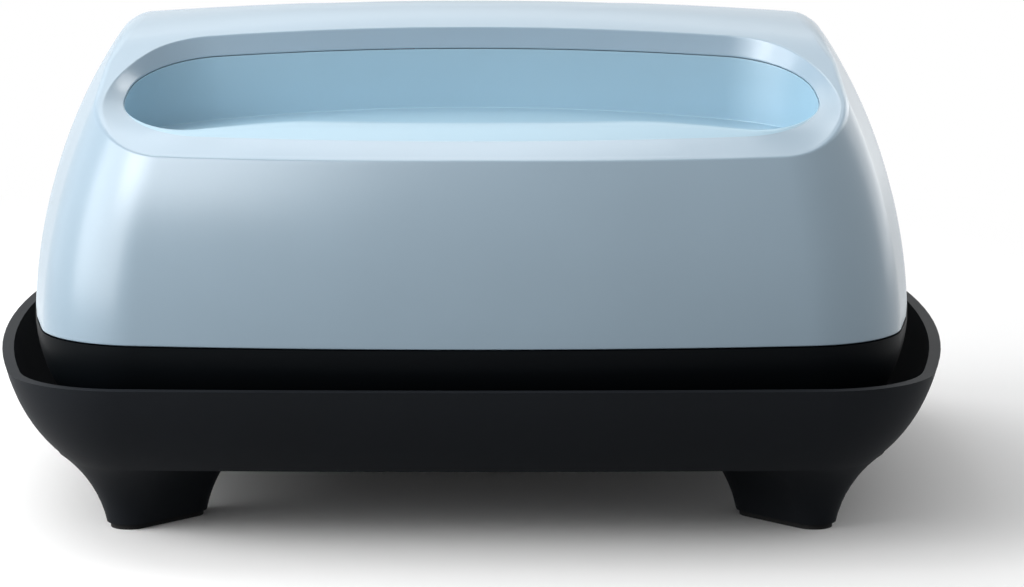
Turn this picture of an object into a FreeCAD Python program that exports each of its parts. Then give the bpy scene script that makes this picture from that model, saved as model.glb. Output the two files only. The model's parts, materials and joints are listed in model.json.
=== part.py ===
"""Handheld heat press seated in its stand. Millimetres, +Z up, +X to the right.

The front, with the wide lip, faces -Y. The origin is on the floor, under the middle of the stand.
"""
import FreeCAD, Part
import Sketcher
import math
import os
from FreeCAD import Placement, Rotation, Vector

os.makedirs("parts", exist_ok=True)
doc = FreeCAD.newDocument("heat_press")
sheet = doc.addObject("Spreadsheet::Sheet", "Sizes")

# Driving dimensions: name, value in millimetres (angles in degrees), what it is
DIMENSIONS = [
    ("stand_margin", 12.2, "stand's rim outside the shell's widest wall, at the sides"),
    ("stand_margin_front", 11.1, "stand's rim outside the shell, at the front and back"),
    ("stand_front_radius", 2900, "plan radius of the stand's front and back"),
    ("stand_side_radius", 540, "plan radius of the stand's sides"),
    ("stand_corner_radius", 44, "plan radius of the stand's corners at the rim"),
    ("stand_wall", 4.1, "wall of the stand"),
    ("stand_floor", 3.5, "floor of the stand"),
    ("stand_underside", 27, "height of the stand's flat underside"),
    ("stand_rim_rise", 24, "stand's rim above the heat plate's working face"),
    ("bowl_radius", 59.2, "radius of the bowl's outer profile"),
    ("bowl_centre_rise", 14.1, "centre of that radius above the rim"),
    ("foot_inset_x", 53.4, "outer end of a foot's centre line inside the rim, sideways"),
    ("foot_inset_y", 53.2, "outer end of a foot's centre line inside the rim, forwards"),
    ("foot_run", 26, "length of a foot's centre line, at 45 degrees"),
    ("foot_radius", 8, "half width of a foot on the floor"),
    ("foot_draft", 0.15, "outward lean of a leg's side at the floor, as a slope"),
    ("flare_radius", 42, "radius of the flare that joins leg and bowl"),
    ("leg_lean", 6, "how far a leg's outer end moves out to the corner at its top"),
    ("foot_pad_thickness", 2, "rubber pad under a foot"),
    ("foot_pad_inset", 1, "how far the pad stays inside the foot"),
    ("boss_drop", 6, "how far the stand's screw bosses hang below its underside"),
    ("rest_pad_radius", 9, "silicone rest pad"),
    ("rest_pad_inset", 24.4, "rest pads inside the heat plate's edges"),
    ("rest_pad_height", 5.5, "height of the silicone rest pads"),
    ("deflector_inset_x", 24.3, "reflector sheet inside the feet, sideways"),
    ("deflector_inset_y", 22, "reflector sheet inside the feet, forwards"),
    ("deflector_corner", 14, "corner radius of the reflector sheet"),
    ("deflector_sheet", 1, "thickness of the reflector sheet"),
    ("shell_margin", 13.1, "shell's widest wall outside the heat plate's edges"),
    ("shell_front_radius", 1020, "plan radius of the shell's front and back"),
    ("shell_side_radius", 480, "plan radius of the shell's sides"),
    ("shell_corner_radius", 41, "plan radius of the shell's corners at its lower edge"),
    ("corner_closing", 0.3, "share of the wall's lean by which the corner radius shrinks"),
    ("lean_radius", 190.9, "radius of the wall's leaning profile"),
    ("lean_centre_drop", 7.65, "the wall is upright this far below the shell's lower edge"),
    ("shell_height", 108.7, "height of the shell over its lower edge"),
    ("shell_wall", 2.8, "wall of the shell"),
    ("shoulder_radius", 5, "rounding between the shell's walls and its top"),
    ("crest_radius", 1650, "sideways crown of the handle bar's top"),
    ("slope_angle", 22.4, "tilt of the two slopes that fall from the handle bar"),
    ("slope_y", 81.5, "a point on the front slope, forwards of the middle"),
    ("slope_drop", 24.8, "that point below the top of the handle bar"),
    ("rim_inset", 32.2, "outline of the dished rim inside the shell's widest wall"),
    ("rim_front_inset", 90.7, "rim outline inside the shell's half depth, downhill"),
    ("rim_back", 49.6, "rim outline from the slope's point, uphill"),
    ("rim_side_at", 15.2, "widest place of the rim, downhill from the slope's point"),
    ("rim_front_radius", 1170, "front arc of the rim"),
    ("rim_low_corner", 30.5, "front corner arcs of the rim"),
    ("rim_side_radius", 75, "side arcs of the rim"),
    ("rim_high_corner", 34.2, "rear corner arcs of the rim"),
    ("rim_back_radius", 680, "rear arc of the rim, along the handle bar"),
    ("mouth_angle", 17.4, "tilt of the plane in which the shell ends and the liner starts"),
    ("mouth_y", 75, "a point in the mouth's plane, forwards of the middle"),
    ("mouth_drop", 1.2, "that point below the slope's point"),
    ("rim_band", 7.1, "width of the band between rim and mouth at the sides"),
    ("rim_band_front", 7.5, "the band in front, in its plane"),
    ("mouth_back", 41, "mouth outline from its point, uphill"),
    ("mouth_side_at", 11, "widest place of the mouth, downhill from its point"),
    ("mouth_front_radius", 1170, "front arc of the mouth"),
    ("mouth_low_corner", 31, "front corner arcs of the mouth"),
    ("mouth_side_radius", 90, "side arcs of the mouth"),
    ("mouth_high_corner", 37, "rear corner arcs of the mouth"),
    ("mouth_back_radius", 600, "rear arc of the mouth"),
    ("parting_gap", 0.4, "gap between shell and liner"),
    ("liner_wall", 1.8, "wall of the liner"),
    ("pocket_depth", 11.1, "finger pocket's floor below the mouth's point"),
    ("lip_width", 13.6, "rolled front lip of the liner, in the mouth's plane"),
    ("collar_width", 5, "thickened edge of the shell around the mouth"),
    ("collar_depth", 3, "depth of that edge under the mouth's plane"),
    ("flange_width", 6.5, "screw flange of the liner, outside the mouth"),
    ("liner_screw_x", 62, "liner's front and back screws, sideways"),
    ("flange_thickness", 2.2, "screw flange of the liner"),
    ("seat_clearance", 0.2, "gap between a flange and what it is screwed to"),
    ("skirt_radius", 38, "radius of the skirt's curved profile"),
    ("skirt_centre_drop", 1, "centre of that radius below the shell's lower edge"),
    ("skirt_gap", 1, "skirt's lower edge above the heat plate"),
    ("skirt_height", 28, "shell's lower edge above the skirt's"),
    ("skirt_top_gap", 0.4, "shadow gap between skirt and shell"),
    ("skirt_wall", 2.6, "wall of the skirt"),
    ("skirt_opening", 13, "width of the skirt's flange, from its lower edge inwards"),
    ("plate_half_width", 152.4, "heat plate, half of 12 inches"),
    ("plate_half_depth", 127, "heat plate, half of 10 inches"),
    ("plate_corner", 22, "corner radius of the heat plate"),
    ("plate_thickness", 8, "thickness of the heat plate"),
    ("element_radius", 3.3, "heating element tube"),
    ("element_clearance", 0.1, "gap between the tube and its groove"),
    ("element_bend", 22, "bend radius of the heating element"),
    ("outer_loop_inset", 34.4, "outer heating element inside the plate's edges"),
    ("inner_loop_x", 62, "inner heating element, half width of its loop"),
    ("inner_loop_y", 44, "inner heating element, half depth of its loop"),
    ("outer_spread", 14, "outer element's terminals, from the middle"),
    ("inner_spread", 24, "inner element's terminals, from the middle"),
    ("terminal_bend", 7, "bend radius of an element's terminals"),
    ("terminal_reach", 8, "ends of the terminals above the heat shield"),
    ("blanket_inset", 24.4, "insulation blanket inside the plate's edges"),
    ("blanket_corner", 14, "corner radius of the insulation blanket"),
    ("shield_lift", 14, "heat shield above the heat plate"),
    ("shield_sheet", 0.8, "thickness of the heat shield"),
    ("shield_inset", 5.5, "heat shield's edge inside the skirt's lower edge"),
    ("shield_boss_radius", 3.4, "skirt's bosses that carry the heat shield"),
    ("post_inset_x", 20.2, "standoffs at the sides, inside the plate's edge"),
    ("post_y", 60, "plate standoffs at the sides, forwards"),
    ("post_middle_x", 60, "plate standoffs at the front and back, sideways"),
    ("post_inset_y", 17.5, "standoffs at the front and back, inside the plate's edge"),
    ("post_radius", 3.5, "plate standoff"),
    ("screw_radius", 1.5, "thread of the large screws"),
    ("screw_head_radius", 2.8, "head of the large screws"),
    ("screw_head", 2, "head height of the large screws"),
    ("small_screw_radius", 1.1, "thread of the small screws"),
    ("small_head_radius", 2.1, "head of the small screws"),
    ("small_head", 1.4, "head height of the small screws"),
    ("screw_clearance", 0.1, "gap between a screw and its hole"),
    ("thread_bite", 6, "length of a large screw's thread in its boss"),
    ("plate_bite", 5, "length of a screw's thread in the heat plate"),
    ("small_bite", 2.2, "length of a small screw's thread in its seat"),
    ("boss_radius", 4.6, "shell and skirt screw bosses"),
    ("boss_inset_x", 22.5, "screw bosses at the sides, inside the shell's widest wall"),
    ("boss_side_y", 32, "screw bosses at the sides, forwards"),
    ("boss_front_x", 88, "screw bosses at the front and back, sideways"),
    ("boss_inset_y", 25.1, "screw bosses at the front and back, inside that wall"),
    ("boss_gap", 16.8, "shell's bosses end below the finger pockets by this"),
    ("rib_thickness", 2, "rib between a boss and the shell's wall"),
    ("rib_reach", 30, "length of a rib from its boss's middle, before the wall trims it"),
    ("rib_lift", 12, "lower end of a rib above the inner deck"),
    ("deck_lift", 1.3, "inner deck above the shell's lower edge"),
    ("deck_thickness", 2.2, "thickness of the inner deck"),
    ("deck_inset", 17, "inner deck's edge inside the shell's widest wall"),
    ("board_thickness", 1.6, "thickness of the circuit boards"),
    ("power_board_width", 124, "power board, sideways"),
    ("power_board_depth", 84, "power board, front to back"),
    ("power_board_lift", 9, "standoff height under the power board"),
    ("board_post_inset", 6, "standoffs from the power board's edges"),
    ("board_post_radius", 3, "standoffs of the power board"),
    ("relay_width", 28, "power relay"),
    ("relay_depth", 18, "power relay"),
    ("relay_height", 20, "power relay"),
    ("supply_width", 42, "supply module"),
    ("supply_depth", 28, "supply module"),
    ("supply_height", 24, "supply module"),
    ("sink_width", 38, "heat sink"),
    ("sink_base", 3, "heat sink, thickness of its base"),
    ("sink_height", 26, "heat sink"),
    ("sink_fin", 1.4, "thickness of a heat sink fin"),
    ("sink_fin_length", 10, "length of a heat sink fin"),
    ("sink_root", 0.2, "how far a fin's root reaches into the base"),
    ("sink_pitch", 6, "pitch of the heat sink's fins"),
    ("sink_fins", 6, "number of heat sink fins"),
    ("case_corner", 1.4, "rounding of the relay's and the supply's upright edges"),
    ("terminal_width", 36, "terminal block"),
    ("terminal_depth", 14, "terminal block"),
    ("terminal_height", 13, "terminal block"),
    ("terminal_hole", 2, "radius of the terminal block's entries"),
    ("cutout_radius", 8, "thermal cut-out"),
    ("sensor_rim", 0.5, "how far the heat shield reaches over the sensors' edges"),
    ("shield_boss_y", 72.7, "heat shield's screws at the sides, forwards"),
    ("cutout_x", 40, "thermal cut-out, from the middle to the left"),
    ("sensor_radius", 4, "temperature sensor"),
    ("panel_y", 18, "middle of the control panel, behind the middle of the bar"),
    ("panel_drop", 3.6, "control panel's face below the crest's top, at the panel's middle"),
    ("panel_angle", 9.9, "backward tilt of the control panel"),
    ("bezel_width", 122, "control panel"),
    ("bezel_depth", 26, "control panel"),
    ("bezel_corner", 8, "corner radius of the control panel"),
    ("bezel_thickness", 2, "thickness of the control panel"),
    ("panel_clearance", 0.3, "gap around the control panel"),
    ("panel_ledge", 2.7, "ledge on which the control panel rests"),
    ("seat_depth", 4.6, "thickened seat of the control panel, under its face"),
    ("window_width", 40, "display window"),
    ("window_depth", 17, "display window"),
    ("window_thickness", 1.4, "display window"),
    ("window_ledge", 2, "ledge on which the display window rests"),
    ("window_clearance", 0.15, "gap around the display window"),
    ("module_thickness", 3.4, "display module"),
    ("button_radius", 4.1, "push button"),
    ("button_clearance", 0.3, "gap around a push button"),
    ("button_proud", 0.8, "how far a button stands out of the panel"),
    ("button_flange", 0.9, "how far a button's collar reaches under the panel"),
    ("button_collar", 0.8, "thickness of that collar"),
    ("button_travel", 0.8, "how far a button can be pressed"),
    ("button_first", 28, "first button from the middle of the panel"),
    ("button_pitch", 12, "pitch of the buttons"),
    ("stem_radius", 1.5, "button's stem"),
    ("stem_clearance", 0.1, "gap between a stem and its switch"),
    ("stem_entry", 1, "how far a stem stands in its switch at rest"),
    ("control_board_gap", 5.6, "control board's face under the panel's underside"),
    ("control_board_width", 114, "control board"),
    ("control_board_depth", 20, "control board"),
    ("switch_width", 6, "tactile switch"),
    ("switch_height", 3.5, "tactile switch"),
    ("panel_post_x", 46, "panel's posts for the control board, sideways"),
    ("panel_post_y", 7.8, "panel's posts for the control board, forwards"),
    ("panel_post_radius", 1.9, "panel's posts for the control board"),
    ("buzzer_radius", 6, "buzzer"),
    ("buzzer_height", 3.5, "buzzer"),
    ("gland_x", 60, "cord gland, from the middle"),
    ("gland_lift", 25, "cord gland above the shell's lower edge"),
    ("gland_hole", 8, "hole for the cord gland"),
    ("gland_flange", 11, "flange of the cord gland"),
    ("gland_flange_thickness", 2, "flange of the cord gland"),
    ("gland_nut", 4, "thickness of the cord gland's nut"),
    ("gland_pad", 14, "flat round pad on the shell's back, around the gland"),
    ("gland_pad_thickness", 9.5, "thickness of that pad"),
    ("cord_hole", 3.8, "bore of the cord gland"),
    ("clamp_width", 24, "cord clamp on the deck"),
    ("clamp_depth", 9, "cord clamp on the deck"),
    ("clamp_height", 8, "cord clamp on the deck"),
    ("clamp_edge", 1, "cord clamp's screw heads from its ends"),
    ("lead_radius", 1.2, "insulated leads"),
    ("lead_bend", 6, "bend radius of the leads"),
    ("lead_rise", 14, "how far the leads rise above the power board before they bend"),
    ("crimp_length", 6, "crimps on the elements' terminals"),
    ("ribbon_width", 12, "ribbon cable"),
    ("ribbon_thickness", 0.9, "ribbon cable"),
    ("cut_over", 6, "how far a cutting tool runs past what it cuts"),
    ("tool_reach", 72, "depth of the tools that cut the dishes and mouths"),
]
for row, (name, value, note) in enumerate(DIMENSIONS, start=1):
    sheet.set("A%d" % row, name)
    sheet.set("B%d" % row, str(value))
    sheet.set("C%d" % row, note)
    sheet.setAlias("B%d" % row, name)
doc.recompute()

# Sizes and heights that follow from the driving dimensions
FOLLOWING = {
    "shell_half_width": "plate_half_width + shell_margin",
    "shell_half_depth": "plate_half_depth + shell_margin",
    "stand_half_width": "shell_half_width + stand_margin",
    "stand_half_depth": "shell_half_depth + stand_margin_front",
    "foot_x": "stand_half_width - foot_inset_x",
    "foot_y": "stand_half_depth - foot_inset_y",
    "rest_pad_x": "plate_half_width - rest_pad_inset",
    "rest_pad_y": "plate_half_depth - rest_pad_inset",
    "deflector_half_width": "foot_x - deflector_inset_x",
    "deflector_half_depth": "foot_y - deflector_inset_y",
    "stand_inside": "stand_underside + stand_floor",
    "plate_height": "stand_inside + rest_pad_height",
    "plate_top": "plate_height + plate_thickness",
    "stand_rim": "plate_height + stand_rim_rise",
    "bowl_centre": "stand_rim + bowl_centre_rise",
    "skirt_bottom": "plate_top + skirt_gap",
    "shell_bottom": "skirt_bottom + skirt_height",
    "skirt_centre": "shell_bottom - skirt_centre_drop",
    "lean_centre": "shell_bottom - lean_centre_drop",
    "crest_height": "shell_bottom + shell_height",
    "slope_z": "crest_height - slope_drop",
    "mouth_z": "slope_z - mouth_drop",
    "liner_floor": "mouth_z - pocket_depth",
    "boss_top": "liner_floor - liner_wall - boss_gap",
    "gland_height": "shell_bottom + gland_lift",
    "deck_underside": "shell_bottom + deck_lift",
    "deck_top": "deck_underside + deck_thickness",
    "board_level": "deck_top + power_board_lift + board_thickness",
    "shield_height": "plate_top + shield_lift",
    "blanket_base": "plate_top + element_radius + seat_clearance",
    "blanket_top": "shield_height - seat_clearance",
    "terminal_top": "shield_height + terminal_reach",
    "rim_half_width": "shell_half_width - rim_inset",
    "rim_front": "shell_half_depth - rim_front_inset",
    "mouth_half_width": "rim_half_width - rim_band",
    "mouth_front": "rim_front - rim_band_front",
    "outer_loop_x": "plate_half_width - outer_loop_inset",
    "outer_loop_y": "plate_half_depth - outer_loop_inset",
    "blanket_half_width": "plate_half_width - blanket_inset",
    "blanket_half_depth": "plate_half_depth - blanket_inset",
    "post_x": "plate_half_width - post_inset_x",
    "post_middle_y": "plate_half_depth - post_inset_y",
    "boss_side_x": "shell_half_width - boss_inset_x",
    "boss_front_y": "shell_half_depth - boss_inset_y",
}

UP = Vector(0, 0, 1)
RIGHT = Vector(1, 0, 0)
BACK = Vector(0, 1, 0)
MIDDLE = Vector(0, 0, 0)
CORNERS = [(1, 1), (-1, 1), (-1, -1), (1, -1)]
LEAST_SIDE_TURN = math.radians(2)
CORNER_STEP = 0.97
SHARP = math.radians(20)
SUBPARTS = []


def size(name):
    """Value of a driving dimension, or of a sum or difference that follows from some."""
    if name not in FOLLOWING:
        return float(sheet.get(name))
    words = FOLLOWING[name].split()
    total = size(words[0])
    for sign, word in zip(words[1::2], words[2::2]):
        total += size(word) if sign == "+" else -size(word)
    return total


def formula(text):
    """An expression over the sheet's aliases, with every word read as a size's name."""
    words = text.replace("(", " ( ").replace(")", " ) ").split()
    read = []
    for word in words:
        if word in FOLLOWING:
            read.append("( %s )" % formula(FOLLOWING[word]))
        elif word[0].isalpha():
            read.append("Sizes." + word)
        else:
            read.append(word)
    return " ".join(read)


def bind(item, **sizes):
    """Bind an object's properties to formulas over the sheet."""
    for name, text in sizes.items():
        item.setExpression(name, formula(text))


def subpart(item, label):
    """Name a finished object as one of the press's sub-parts."""
    item.Label = label
    SUBPARTS.append(item)
    return item


def solid_feature(label, shape):
    """A sub-part whose free form or grouping no parametric feature gives."""
    item = doc.addObject("Part::Feature", label)
    item.Shape = shape
    item.Placement = Placement()
    return subpart(item, label)


# Plane frames: the panel, the slopes and the mouths are tilted about the X axis

def tilted(y, z, angle):
    """A frame whose local Z is the normal of a plane that rises backwards by the angle."""
    return Placement(Vector(0, y, z), Rotation(RIGHT, angle))


def slope_frame():
    return tilted(-size("slope_y"), size("slope_z"), size("slope_angle"))


def mouth_frame():
    return tilted(-size("mouth_y"), size("mouth_z"), size("mouth_angle"))


def panel_frame():
    height = size("crest_height") - size("panel_drop")
    return tilted(size("panel_y"), height, -size("panel_angle"))


# Outlines made of eight tangent arcs

def inner_centre(big, big_radius, side, side_radius, radius, sign):
    """Centre of the corner arc that touches a front or back arc and a side arc from inside."""
    reach_a = big_radius - radius
    reach_b = side_radius - radius
    gap = side.sub(big)
    along = (reach_a ** 2 - reach_b ** 2 + gap.Length ** 2) / (2 * gap.Length)
    across = math.sqrt(max(reach_a ** 2 - along ** 2, 0))
    unit = gap.normalize()
    foot = big.add(unit * along)
    choices = [foot.add(Vector(-unit.y, unit.x, 0) * across * k) for k in (1, -1)]
    return max(choices, key=lambda point: point.x + sign * point.y)


def touch(centre, radius, through):
    """The point on a circle in the direction of another point."""
    return centre.add(through.sub(centre).normalize() * radius)


def bearing(centre, through):
    """Direction from one point to another, in radians from the X axis."""
    return math.atan2(through.y - centre.y, through.x - centre.x)


def mirrored(point):
    return Vector(-point.x, point.y, point.z)


def outline(half_width, front, back, side_at, front_radius, low_corner, side_radius, high_corner,
            back_radius, height=0.0):
    """Closed wire of eight tangent arcs, symmetric in X; front and back are distances in Y.

    Corners too large for the depth are reduced together until the side arc has a length.
    """
    front_c = Vector(0, front_radius - front, 0)
    back_c = Vector(0, back - back_radius, 0)
    side_c = Vector(half_width - side_radius, -side_at, 0)
    low_c = inner_centre(front_c, front_radius, side_c, side_radius, low_corner, -1)
    high_c = inner_centre(back_c, back_radius, side_c, side_radius, high_corner, 1)
    while bearing(side_c, low_c) > bearing(side_c, high_c) - LEAST_SIDE_TURN:
        low_corner = low_corner * CORNER_STEP
        high_corner = high_corner * CORNER_STEP
        low_c = inner_centre(front_c, front_radius, side_c, side_radius, low_corner, -1)
        high_c = inner_centre(back_c, back_radius, side_c, side_radius, high_corner, 1)
    joints = [
        touch(front_c, front_radius, low_c),
        touch(side_c, side_radius, low_c),
        touch(side_c, side_radius, high_c),
        touch(back_c, back_radius, high_c),
    ]
    middles = [
        touch(low_c, low_corner, (joints[0] + joints[1]) * 0.5),
        touch(side_c, side_radius, (joints[1] + joints[2]) * 0.5),
        touch(high_c, high_corner, (joints[2] + joints[3]) * 0.5),
    ]
    right = [joints[0], middles[0], joints[1], middles[1], joints[2], middles[2], joints[3]]
    left = [mirrored(point) for point in reversed(right)]
    ring = right + [Vector(0, back, 0)] + left + [Vector(0, -front, 0)]
    ring = [point + Vector(0, 0, height) for point in ring]
    edges = []
    for k in range(0, 16, 2):
        ends = (ring[k], ring[k + 1], ring[(k + 2) % 16])
        edges.append(Part.Arc(*ends).toShape())
    return Part.Wire(edges)


def oval(half_width, half_depth, front_radius, side_radius, corner_radius, height):
    """An outline that is also symmetric in Y."""
    return outline(half_width, half_depth, half_depth, 0, front_radius, corner_radius, side_radius,
                   corner_radius, front_radius, height)


def prism(wire, lift, reach):
    """A solid of the wire's face, from lift above its plane up by reach."""
    solid = Part.Face(wire).extrude(UP * reach)
    solid.translate(UP * lift)
    return solid


def spread(low, high, count):
    return [low + (high - low) * k / (count - 1) for k in range(count)]


def four_times(shape):
    """A shape and its mirror images, one in each corner."""
    both = [shape, shape.mirror(MIDDLE, RIGHT)]
    return both + [part.mirror(MIDDLE, BACK) for part in both]


# Parametric building blocks

def plane_of(body, role):
    """One of the body's own origin planes."""
    return [item for item in body.Origin.OriginFeatures if item.Role == role][0]


def rectangle(sketch, width, depth):
    """A rectangle centred on the sketch's origin, its sides bound to formulas."""
    half = 10.0  # the constraints below set the real size
    points = [Vector(i * half, j * half, 0) for i, j in ((-1, -1), (1, -1), (1, 1), (-1, 1))]
    for k in range(4):
        sketch.addGeometry(Part.LineSegment(points[k], points[(k + 1) % 4]), False)
    for k in range(4):
        sketch.addConstraint(Sketcher.Constraint("Coincident", k, 2, (k + 1) % 4, 1))
    sketch.addConstraint(Sketcher.Constraint("Horizontal", 0))
    sketch.addConstraint(Sketcher.Constraint("Horizontal", 2))
    sketch.addConstraint(Sketcher.Constraint("Vertical", 1))
    sketch.addConstraint(Sketcher.Constraint("Vertical", 3))
    sketch.addConstraint(Sketcher.Constraint("Symmetric", 0, 1, 2, 1, -1, 1))
    wide = sketch.addConstraint(Sketcher.Constraint("DistanceX", 0, 1, 0, 2, 2 * half))
    deep = sketch.addConstraint(Sketcher.Constraint("DistanceY", 1, 1, 1, 2, 2 * half))
    sketch.setExpression("Constraints[%d]" % wide, formula(width))
    sketch.setExpression("Constraints[%d]" % deep, formula(depth))


def circles(sketch, places, radius):
    """Circles of one bound radius, centred at the places."""
    for x, y in places:
        ring = sketch.addGeometry(Part.Circle(Vector(x, y, 0), UP, 1.0), False)
        wide = sketch.addConstraint(Sketcher.Constraint("Radius", ring, 1.0))
        sketch.setExpression("Constraints[%d]" % wide, formula(radius))
        sketch.addConstraint(Sketcher.Constraint("DistanceX", -1, 1, ring, 3, x))
        sketch.addConstraint(Sketcher.Constraint("DistanceY", -1, 1, ring, 3, y))


def new_sketch(body, name, lift="0"):
    """A sketch parallel to the body's own XY plane, lifted by a formula."""
    sketch = body.newObject("Sketcher::SketchObject", name)
    sketch.AttachmentSupport = [(plane_of(body, "XY_Plane"), "")]
    sketch.MapMode = "FlatFace"
    sketch.setExpression("AttachmentOffset.Base.z", formula(lift))
    return sketch


def pad(body, sketch, length, down=False):
    feature = body.newObject("PartDesign::Pad", sketch.Name + "_pad")
    feature.Profile = sketch
    feature.setExpression("Length", formula(length))
    feature.Reversed = down
    doc.recompute()
    return feature


def pocket(body, sketch, length, up=False):
    """Cut a pocket and make sure that it took material away."""
    before = body.Shape.Volume
    feature = body.newObject("PartDesign::Pocket", sketch.Name + "_cut")
    feature.Profile = sketch
    feature.setExpression("Length", formula(length))
    feature.Reversed = up
    doc.recompute()
    if body.Shape.Volume > before - 1e-6:
        raise RuntimeError("the pocket %s cuts nothing" % sketch.Name)
    return feature


def round_upright_edges(body, feature, radius):
    """Fillet the edges of a pad that run along its direction."""
    names = []
    for number, edge in enumerate(feature.Shape.Edges, start=1):
        ends = [vertex.Point for vertex in edge.Vertexes]
        if len(ends) == 2 and (ends[0] - ends[1]).cross(UP).Length < 1e-6:
            names.append("Edge%d" % number)
    fillet = body.newObject("PartDesign::Fillet", body.Name + "_round")
    fillet.Base = (feature, names)
    fillet.setExpression("Radius", formula(radius))
    doc.recompute()
    return fillet


def block(name, width, depth, height, place, corner=None):
    """A body: a padded rectangle, with rounded upright edges if a corner radius is given."""
    body = doc.addObject("PartDesign::Body", name)
    sketch = new_sketch(body, name + "_outline")
    rectangle(sketch, width, depth)
    feature = pad(body, sketch, height)
    if corner:
        round_upright_edges(body, feature, corner)
    body.Placement = place
    return body


def cylinder(name, radius, height, place):
    """A bound Part cylinder, its local Z along the placement's."""
    item = doc.addObject("Part::Cylinder", name)
    bind(item, Radius=radius, Height=height)
    item.Placement = place
    return item


def joined(name, items):
    """One object of several that touch."""
    item = doc.addObject("Part::MultiFuse", name)
    item.Shapes = items
    return item


def group(label, items):
    """A sub-part of several separate, alike solids."""
    item = doc.addObject("Part::Compound", label)
    item.Links = items
    return subpart(item, label)


def at(frame, x, y, z):
    """A placement at a point of a frame, with the frame's own direction."""
    return frame.multiply(Placement(Vector(x, y, z), Rotation()))


def flipped(frame, x, y, z):
    """A placement at a point of a frame, with its local Z pointing down."""
    return frame.multiply(Placement(Vector(x, y, z), Rotation(RIGHT, 180)))


def screws(label, places, kind, length):
    """A group of pan head screws. Each place's local Z points the way the thread goes in."""
    small = kind == "small"
    thread = "small_screw_radius" if small else "screw_radius"
    wide = "small_head_radius" if small else "screw_head_radius"
    tall = "small_head" if small else "screw_head"
    items = []
    for number, place in enumerate(places, start=1):
        name = "%s_%d" % (label, number)
        head = cylinder(name + "_head", wide, tall, at(place, 0, 0, -size(tall)))
        shank = cylinder(name + "_thread", thread, length, place)
        items.append(joined(name, [head, shank]))
    return group(label, items)


def hole(place, radius, length, lift=0.0):
    """A cutting cylinder along the placement's local Z."""
    tool = Part.makeCylinder(radius, length)
    tool.translate(UP * lift)
    tool.Placement = place.multiply(tool.Placement)
    return tool


# Stand

WORLD = Placement()


def bowl_wire(height, inset):
    """The bowl's plan at a height, its surface moved in by the inset."""
    radius = size("bowl_radius")
    rise = size("bowl_centre") - size("stand_rim")
    centre_x = size("stand_half_width") - math.sqrt(radius ** 2 - rise ** 2)
    drop = size("bowl_centre") - height
    half_width = centre_x + math.sqrt((radius - inset) ** 2 - drop ** 2)
    less = size("stand_half_width") - half_width
    return oval(half_width, size("stand_half_depth") - less, size("stand_front_radius") - less,
                size("stand_side_radius") - less, size("stand_corner_radius") - less, height)


def foot_wire(height, inset=0.0):
    """A leg's plan at a height: two half circles joined by straight lines."""
    flare = size("flare_radius")
    grow = size("foot_draft") * height + flare - math.sqrt(flare ** 2 - height ** 2)
    radius = size("foot_radius") + grow - inset
    share = height / size("stand_inside")
    outer = Vector(size("foot_x"), size("foot_y") + size("leg_lean") * share ** 2, height)
    step = size("foot_run") * math.sqrt(0.5)
    inner = Vector(size("foot_x") - step, size("foot_y") - step, height)
    along = (outer - inner).normalize()
    side = Vector(-along.y, along.x, 0) * radius
    ends = [inner + side, inner - along * radius, inner - side,
            outer - side, outer + along * radius, outer + side]
    return Part.Wire([
        Part.Arc(ends[0], ends[1], ends[2]).toShape(),
        Part.makeLine(ends[2], ends[3]),
        Part.Arc(ends[3], ends[4], ends[5]).toShape(),
        Part.makeLine(ends[5], ends[0]),
    ])


def deflector_places():
    """Screw places of the reflector sheet, on the stand's floor."""
    x = size("deflector_half_width") - size("deflector_corner")
    y = size("deflector_half_depth") - size("deflector_corner")
    top = size("stand_inside") + size("deflector_sheet")
    return [flipped(WORLD, i * x, j * y, top) for i, j in CORNERS]


def make_stand():
    heights = spread(size("stand_underside"), size("stand_rim"), 6)
    outside = Part.makeLoft([bowl_wire(z, 0) for z in heights], True)
    heights = spread(size("stand_inside"), size("stand_rim"), 6)
    heights.append(size("stand_rim") + size("cut_over"))
    inside = Part.makeLoft([bowl_wire(z, size("stand_wall")) for z in heights], True)
    top = size("stand_inside") - size("stand_floor") / 4
    leg = Part.makeLoft([foot_wire(z) for z in spread(size("foot_pad_thickness"), top, 7)], True)
    stand = outside.cut(inside).fuse(four_times(leg))
    reach = size("boss_drop") + size("stand_floor") / 2
    for place in deflector_places():
        start = size("deflector_sheet") + size("stand_floor") / 2
        stand = stand.fuse(hole(place, size("boss_radius"), reach, start))
    drill = size("screw_radius") + size("screw_clearance")
    for place in deflector_places():
        depth = size("deflector_sheet") + size("thread_bite") + size("screw_clearance")
        stand = stand.cut(hole(place, drill, depth))
    solid_feature("stand_tray", stand)


def make_stand_fittings():
    foot = prism(foot_wire(0.0, size("foot_pad_inset")), 0, size("foot_pad_thickness"))
    solid_feature("foot_pads", Part.makeCompound(four_times(foot)))
    pads = []
    for number, (i, j) in enumerate(CORNERS, start=1):
        place = at(WORLD, i * size("rest_pad_x"), j * size("rest_pad_y"), size("stand_inside"))
        pads.append(cylinder("rest_pad_%d" % number, "rest_pad_radius",
                             "rest_pad_height", place))
    group("rest_pads", pads)
    body = doc.addObject("PartDesign::Body", "heat_deflector")
    sketch = new_sketch(body, "deflector_outline")
    rectangle(sketch, "2 * deflector_half_width", "2 * deflector_half_depth")
    sheet_pad = pad(body, sketch, "deflector_sheet")
    round_upright_edges(body, sheet_pad, "deflector_corner")
    holes = new_sketch(body, "deflector_holes", "deflector_sheet")
    places = [(place.Base.x, place.Base.y) for place in deflector_places()]
    circles(holes, places, "screw_radius + screw_clearance")
    pocket(body, holes, "2 * deflector_sheet")
    body.Placement = at(WORLD, 0, 0, size("stand_inside"))
    subpart(body, "heat_deflector")
    screws("deflector_screws", deflector_places(), "large", "deflector_sheet + thread_bite")


# Shell

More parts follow.
